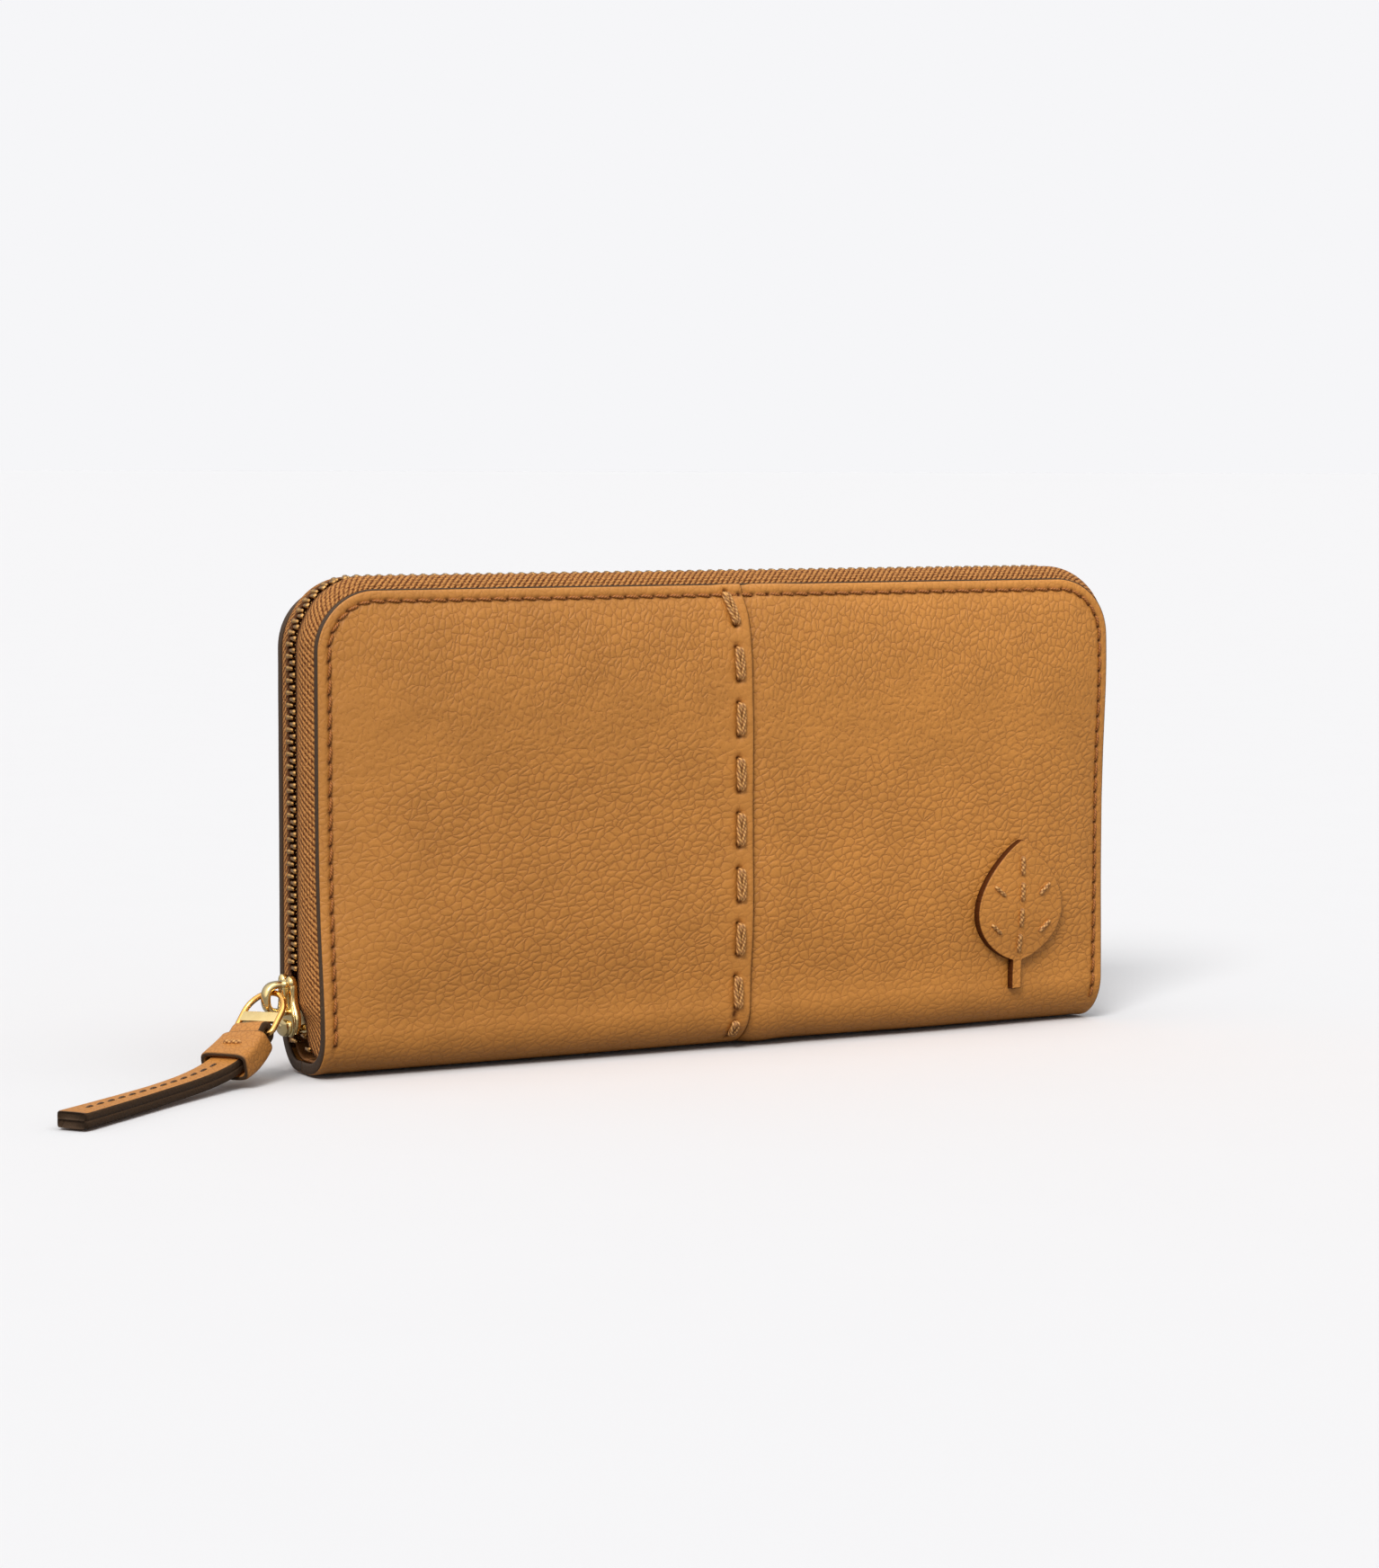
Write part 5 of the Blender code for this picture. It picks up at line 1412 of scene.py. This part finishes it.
def coin_binding():
    """The folded strip sewn between the coin pocket's walls, seen as a rounded edge."""
    low, high = node_box("coin_pocket_edge_strip")
    inset = 1.9
    x, z = low[0] + inset, low[2] + inset
    path = [(x, high[2] - 0.3), (x, z + 2), (x + 2, z)]
    path += [(-x, z) for x, z in path[::-1]]
    line = chaikin([(x, 0.0, z) for x, z in path])
    count = length_along(line)
    even = np.linspace(0, count[-1], 220)
    line = np.stack([np.interp(even, count, line[:, k]) for k in range(3)], -1)
    return solid("coin_pocket_binding", [swept(line, ACROSS_SHEET, rounded(1.8, 2.2, 20, 0.45))], "lining")


def coin_slider():
    """The small zip's slider and its flat tab."""
    low, high = node_box("coin_slider")
    middle = np.array([(low[0] + high[0]) / 2, 0.0, COIN_ZIP_TOP])
    # centre, half sizes, radius: two plates, a divider, the tab's two ears and the plates' two flanges
    blocks = [((0, 0, 1.33), (3.6, 2.25, 0.38), 0.36), ((0, 0, -1.33), (3.6, 1.4, 0.36), 0.3)]
    blocks += [((2.7, 0, 0), (0.7, 0.28, 1.2), 0.2)]
    blocks += [((-2.4, s * 1.28, 2.25), (0.8, 0.32, 0.78), 0.28) for s in (-1, 1)]
    blocks += [((0.2, s * 2.0, 0.9), (3.0, 0.28, 0.5), 0.25) for s in (-1, 1)]
    body = solid("coin_slider_shell", [rounded_box(middle + np.array(c), h, r) for c, h, r in blocks], "gold")
    tab_low, tab_high = node_box("coin_zip_tab")
    _, y, z = (tab_low + tab_high) / 2
    half_height = (tab_high[2] - tab_low[2]) / 2
    x = np.linspace(tab_low[0], tab_high[0], 40)
    width = 0.62 + 0.1875 * bell(x - tab_low[0] - 3.4, 3.0)
    width = width * np.sqrt(np.clip(1 - ((tab_low[0] + 1.2 - x) / 1.25).clip(0) ** 2, 0.1, 1))
    section = np.stack([rounded(w, half_height, 16, 0.6) for w in width])
    line = np.stack([x, y + 0 * x, z + 0 * x], -1)
    return body, solid("coin_tab_blade", [swept(line, (0, 0, 1), section)], "gold")


coin_seams = coin_side("front", -1) + coin_side("rear", 1)
place(solid("coin_pocket_stitches", coin_seams, "thread"), "coin_pocket", "lining")
place(coin_binding(), "coin_pocket", "lining", "coin_pocket_edge_strip")
body, tab = coin_slider()
place(body, "coin_slider", "gold", "coin_slider")
place(tab, "coin_tab", "gold", "coin_zip_tab")

# hidden pieces keep their CAD shape and take a board's look
for name in ("front_stiffener", "back_stiffener", "front_seam_backing", "back_seam_backing"):
    obj = frame["nodes"][name]
    obj.data.materials.clear()
    obj.data.materials.append(MATERIALS["board"])


# ---- Floor, light and camera ----
PAPER = srgb(246, 246, 248)
FLOOR_BOUNCE = (0.30, 0.30, 0.31, 1.0)
FLOOR_HALF, FLOOR_Z = 60, -0.0003
WHITE = (1.0, 1.0, 1.0, 1.0)
SKY_LIGHT = 0.44
MIRROR_TOWARDS = (-0.62, -0.35, 0.70)
MIRROR_RANGE = (-0.2, 0.95, 0.35, 1.6)  # facing from and to, brightness from and to
LENS, SENSOR = 90.6, 36.0
YAW, TILT, ROLL = (math.radians(turn) for turn in (-28.26, 4.89, 0.14))
DISTANCE, TARGET = 0.8476, Vector((-0.00444, 0.0, 0.0561))


def link(obj):
    bpy.context.scene.collection.objects.link(obj)
    return obj


def stage():
    """A wide pale floor that meets a sky of the same tone, seen lighter than the light it gives back."""
    s = Shade("floor_paint")
    grain = s.noise(s.place(0, (1, 1, 1), s.add("ShaderNodeTexCoord", output=3)), 30.0, 2.0)
    seen = s.mix(grain, srgb(236, 236, 238), srgb(235, 235, 237))
    s.finish(s.mix(s.add("ShaderNodeLightPath"), FLOOR_BOUNCE, seen), 0.95, specular=0.0)
    mesh = bpy.data.meshes.new("floor")
    corners = [(x * FLOOR_HALF, y * FLOOR_HALF, FLOOR_Z) for x, y in ((-1, -1), (1, -1), (1, 1), (-1, 1))]
    mesh.from_pydata(corners, [], [(0, 1, 2, 3)])
    mesh.materials.append(s.material)
    link(bpy.data.objects.new("floor", mesh))


def soft_light(name, where, spread, power, colour=(1, 1, 1)):
    """A very distant soft light: where is the direction it shines from."""
    data = bpy.data.lights.new(name, "SUN")
    data.angle = math.radians(spread)
    data.energy = power
    data.color = colour
    light = link(bpy.data.objects.new(name, data))
    light.rotation_euler = Vector(where).to_track_quat("Z", "Y").to_euler()


def studio():
    """Even white light, a brighter side to mirror in metal, and paper white behind."""
    world = bpy.data.worlds.new("studio")
    world.use_nodes = True
    tree = world.node_tree
    add, wire = tree.nodes.new, tree.links.new
    sky, mirrored, seen = tree.nodes["Background"], add("ShaderNodeBackground"), add("ShaderNodeBackground")
    for node, colour in ((sky, WHITE), (mirrored, WHITE), (seen, PAPER)):
        node.inputs[0].default_value = colour
    sky.inputs[1].default_value = SKY_LIGHT
    facing = add("ShaderNodeVectorMath")
    facing.operation = "DOT_PRODUCT"
    facing.inputs[1].default_value = Vector(MIRROR_TOWARDS).normalized()
    wire(add("ShaderNodeTexCoord").outputs["Generated"], facing.inputs[0])
    bright = add("ShaderNodeMapRange")
    for socket, value in zip(bright.inputs[1:5], MIRROR_RANGE):
        socket.default_value = value
    wire(facing.outputs["Value"], bright.inputs[0])
    wire(bright.outputs[0], mirrored.inputs[1])
    path, glossy, choose = add("ShaderNodeLightPath"), add("ShaderNodeMixShader"), add("ShaderNodeMixShader")
    choices = ((glossy, "Is Glossy Ray", sky, mirrored), (choose, "Is Camera Ray", glossy, seen))
    for node, ray, otherwise, chosen in choices:
        for source, socket in ((path.outputs[ray], 0), (otherwise.outputs[0], 1), (chosen.outputs[0], 2)):
            wire(source, node.inputs[socket])
    wire(choose.outputs[0], tree.nodes["World Output"].inputs[0])
    bpy.context.scene.world = world
    soft_light("key", (-0.66, -0.70, 0.80), 22, 1.95, (1.0, 0.99, 0.97))
    soft_light("top", (0.1, -0.25, 1.0), 60, 0.90)
    bpy.context.scene.view_settings.view_transform = "Standard"


def camera():
    data = bpy.data.cameras.new("camera")
    data.lens, data.sensor_width = LENS, SENSOR
    data.clip_start, data.clip_end = 0.01, 20
    obj = link(bpy.data.objects.new("camera", data))
    back = Vector((math.sin(YAW) * math.cos(TILT), -math.cos(YAW) * math.cos(TILT), math.sin(TILT)))
    obj.location = TARGET + back * DISTANCE
    obj.rotation_euler = (-back).to_track_quat("-Z", "Y").to_matrix().to_4x4().to_euler()
    obj.rotation_euler.rotate_axis("Z", ROLL)
    bpy.context.scene.camera = obj


stage()
studio()
camera()
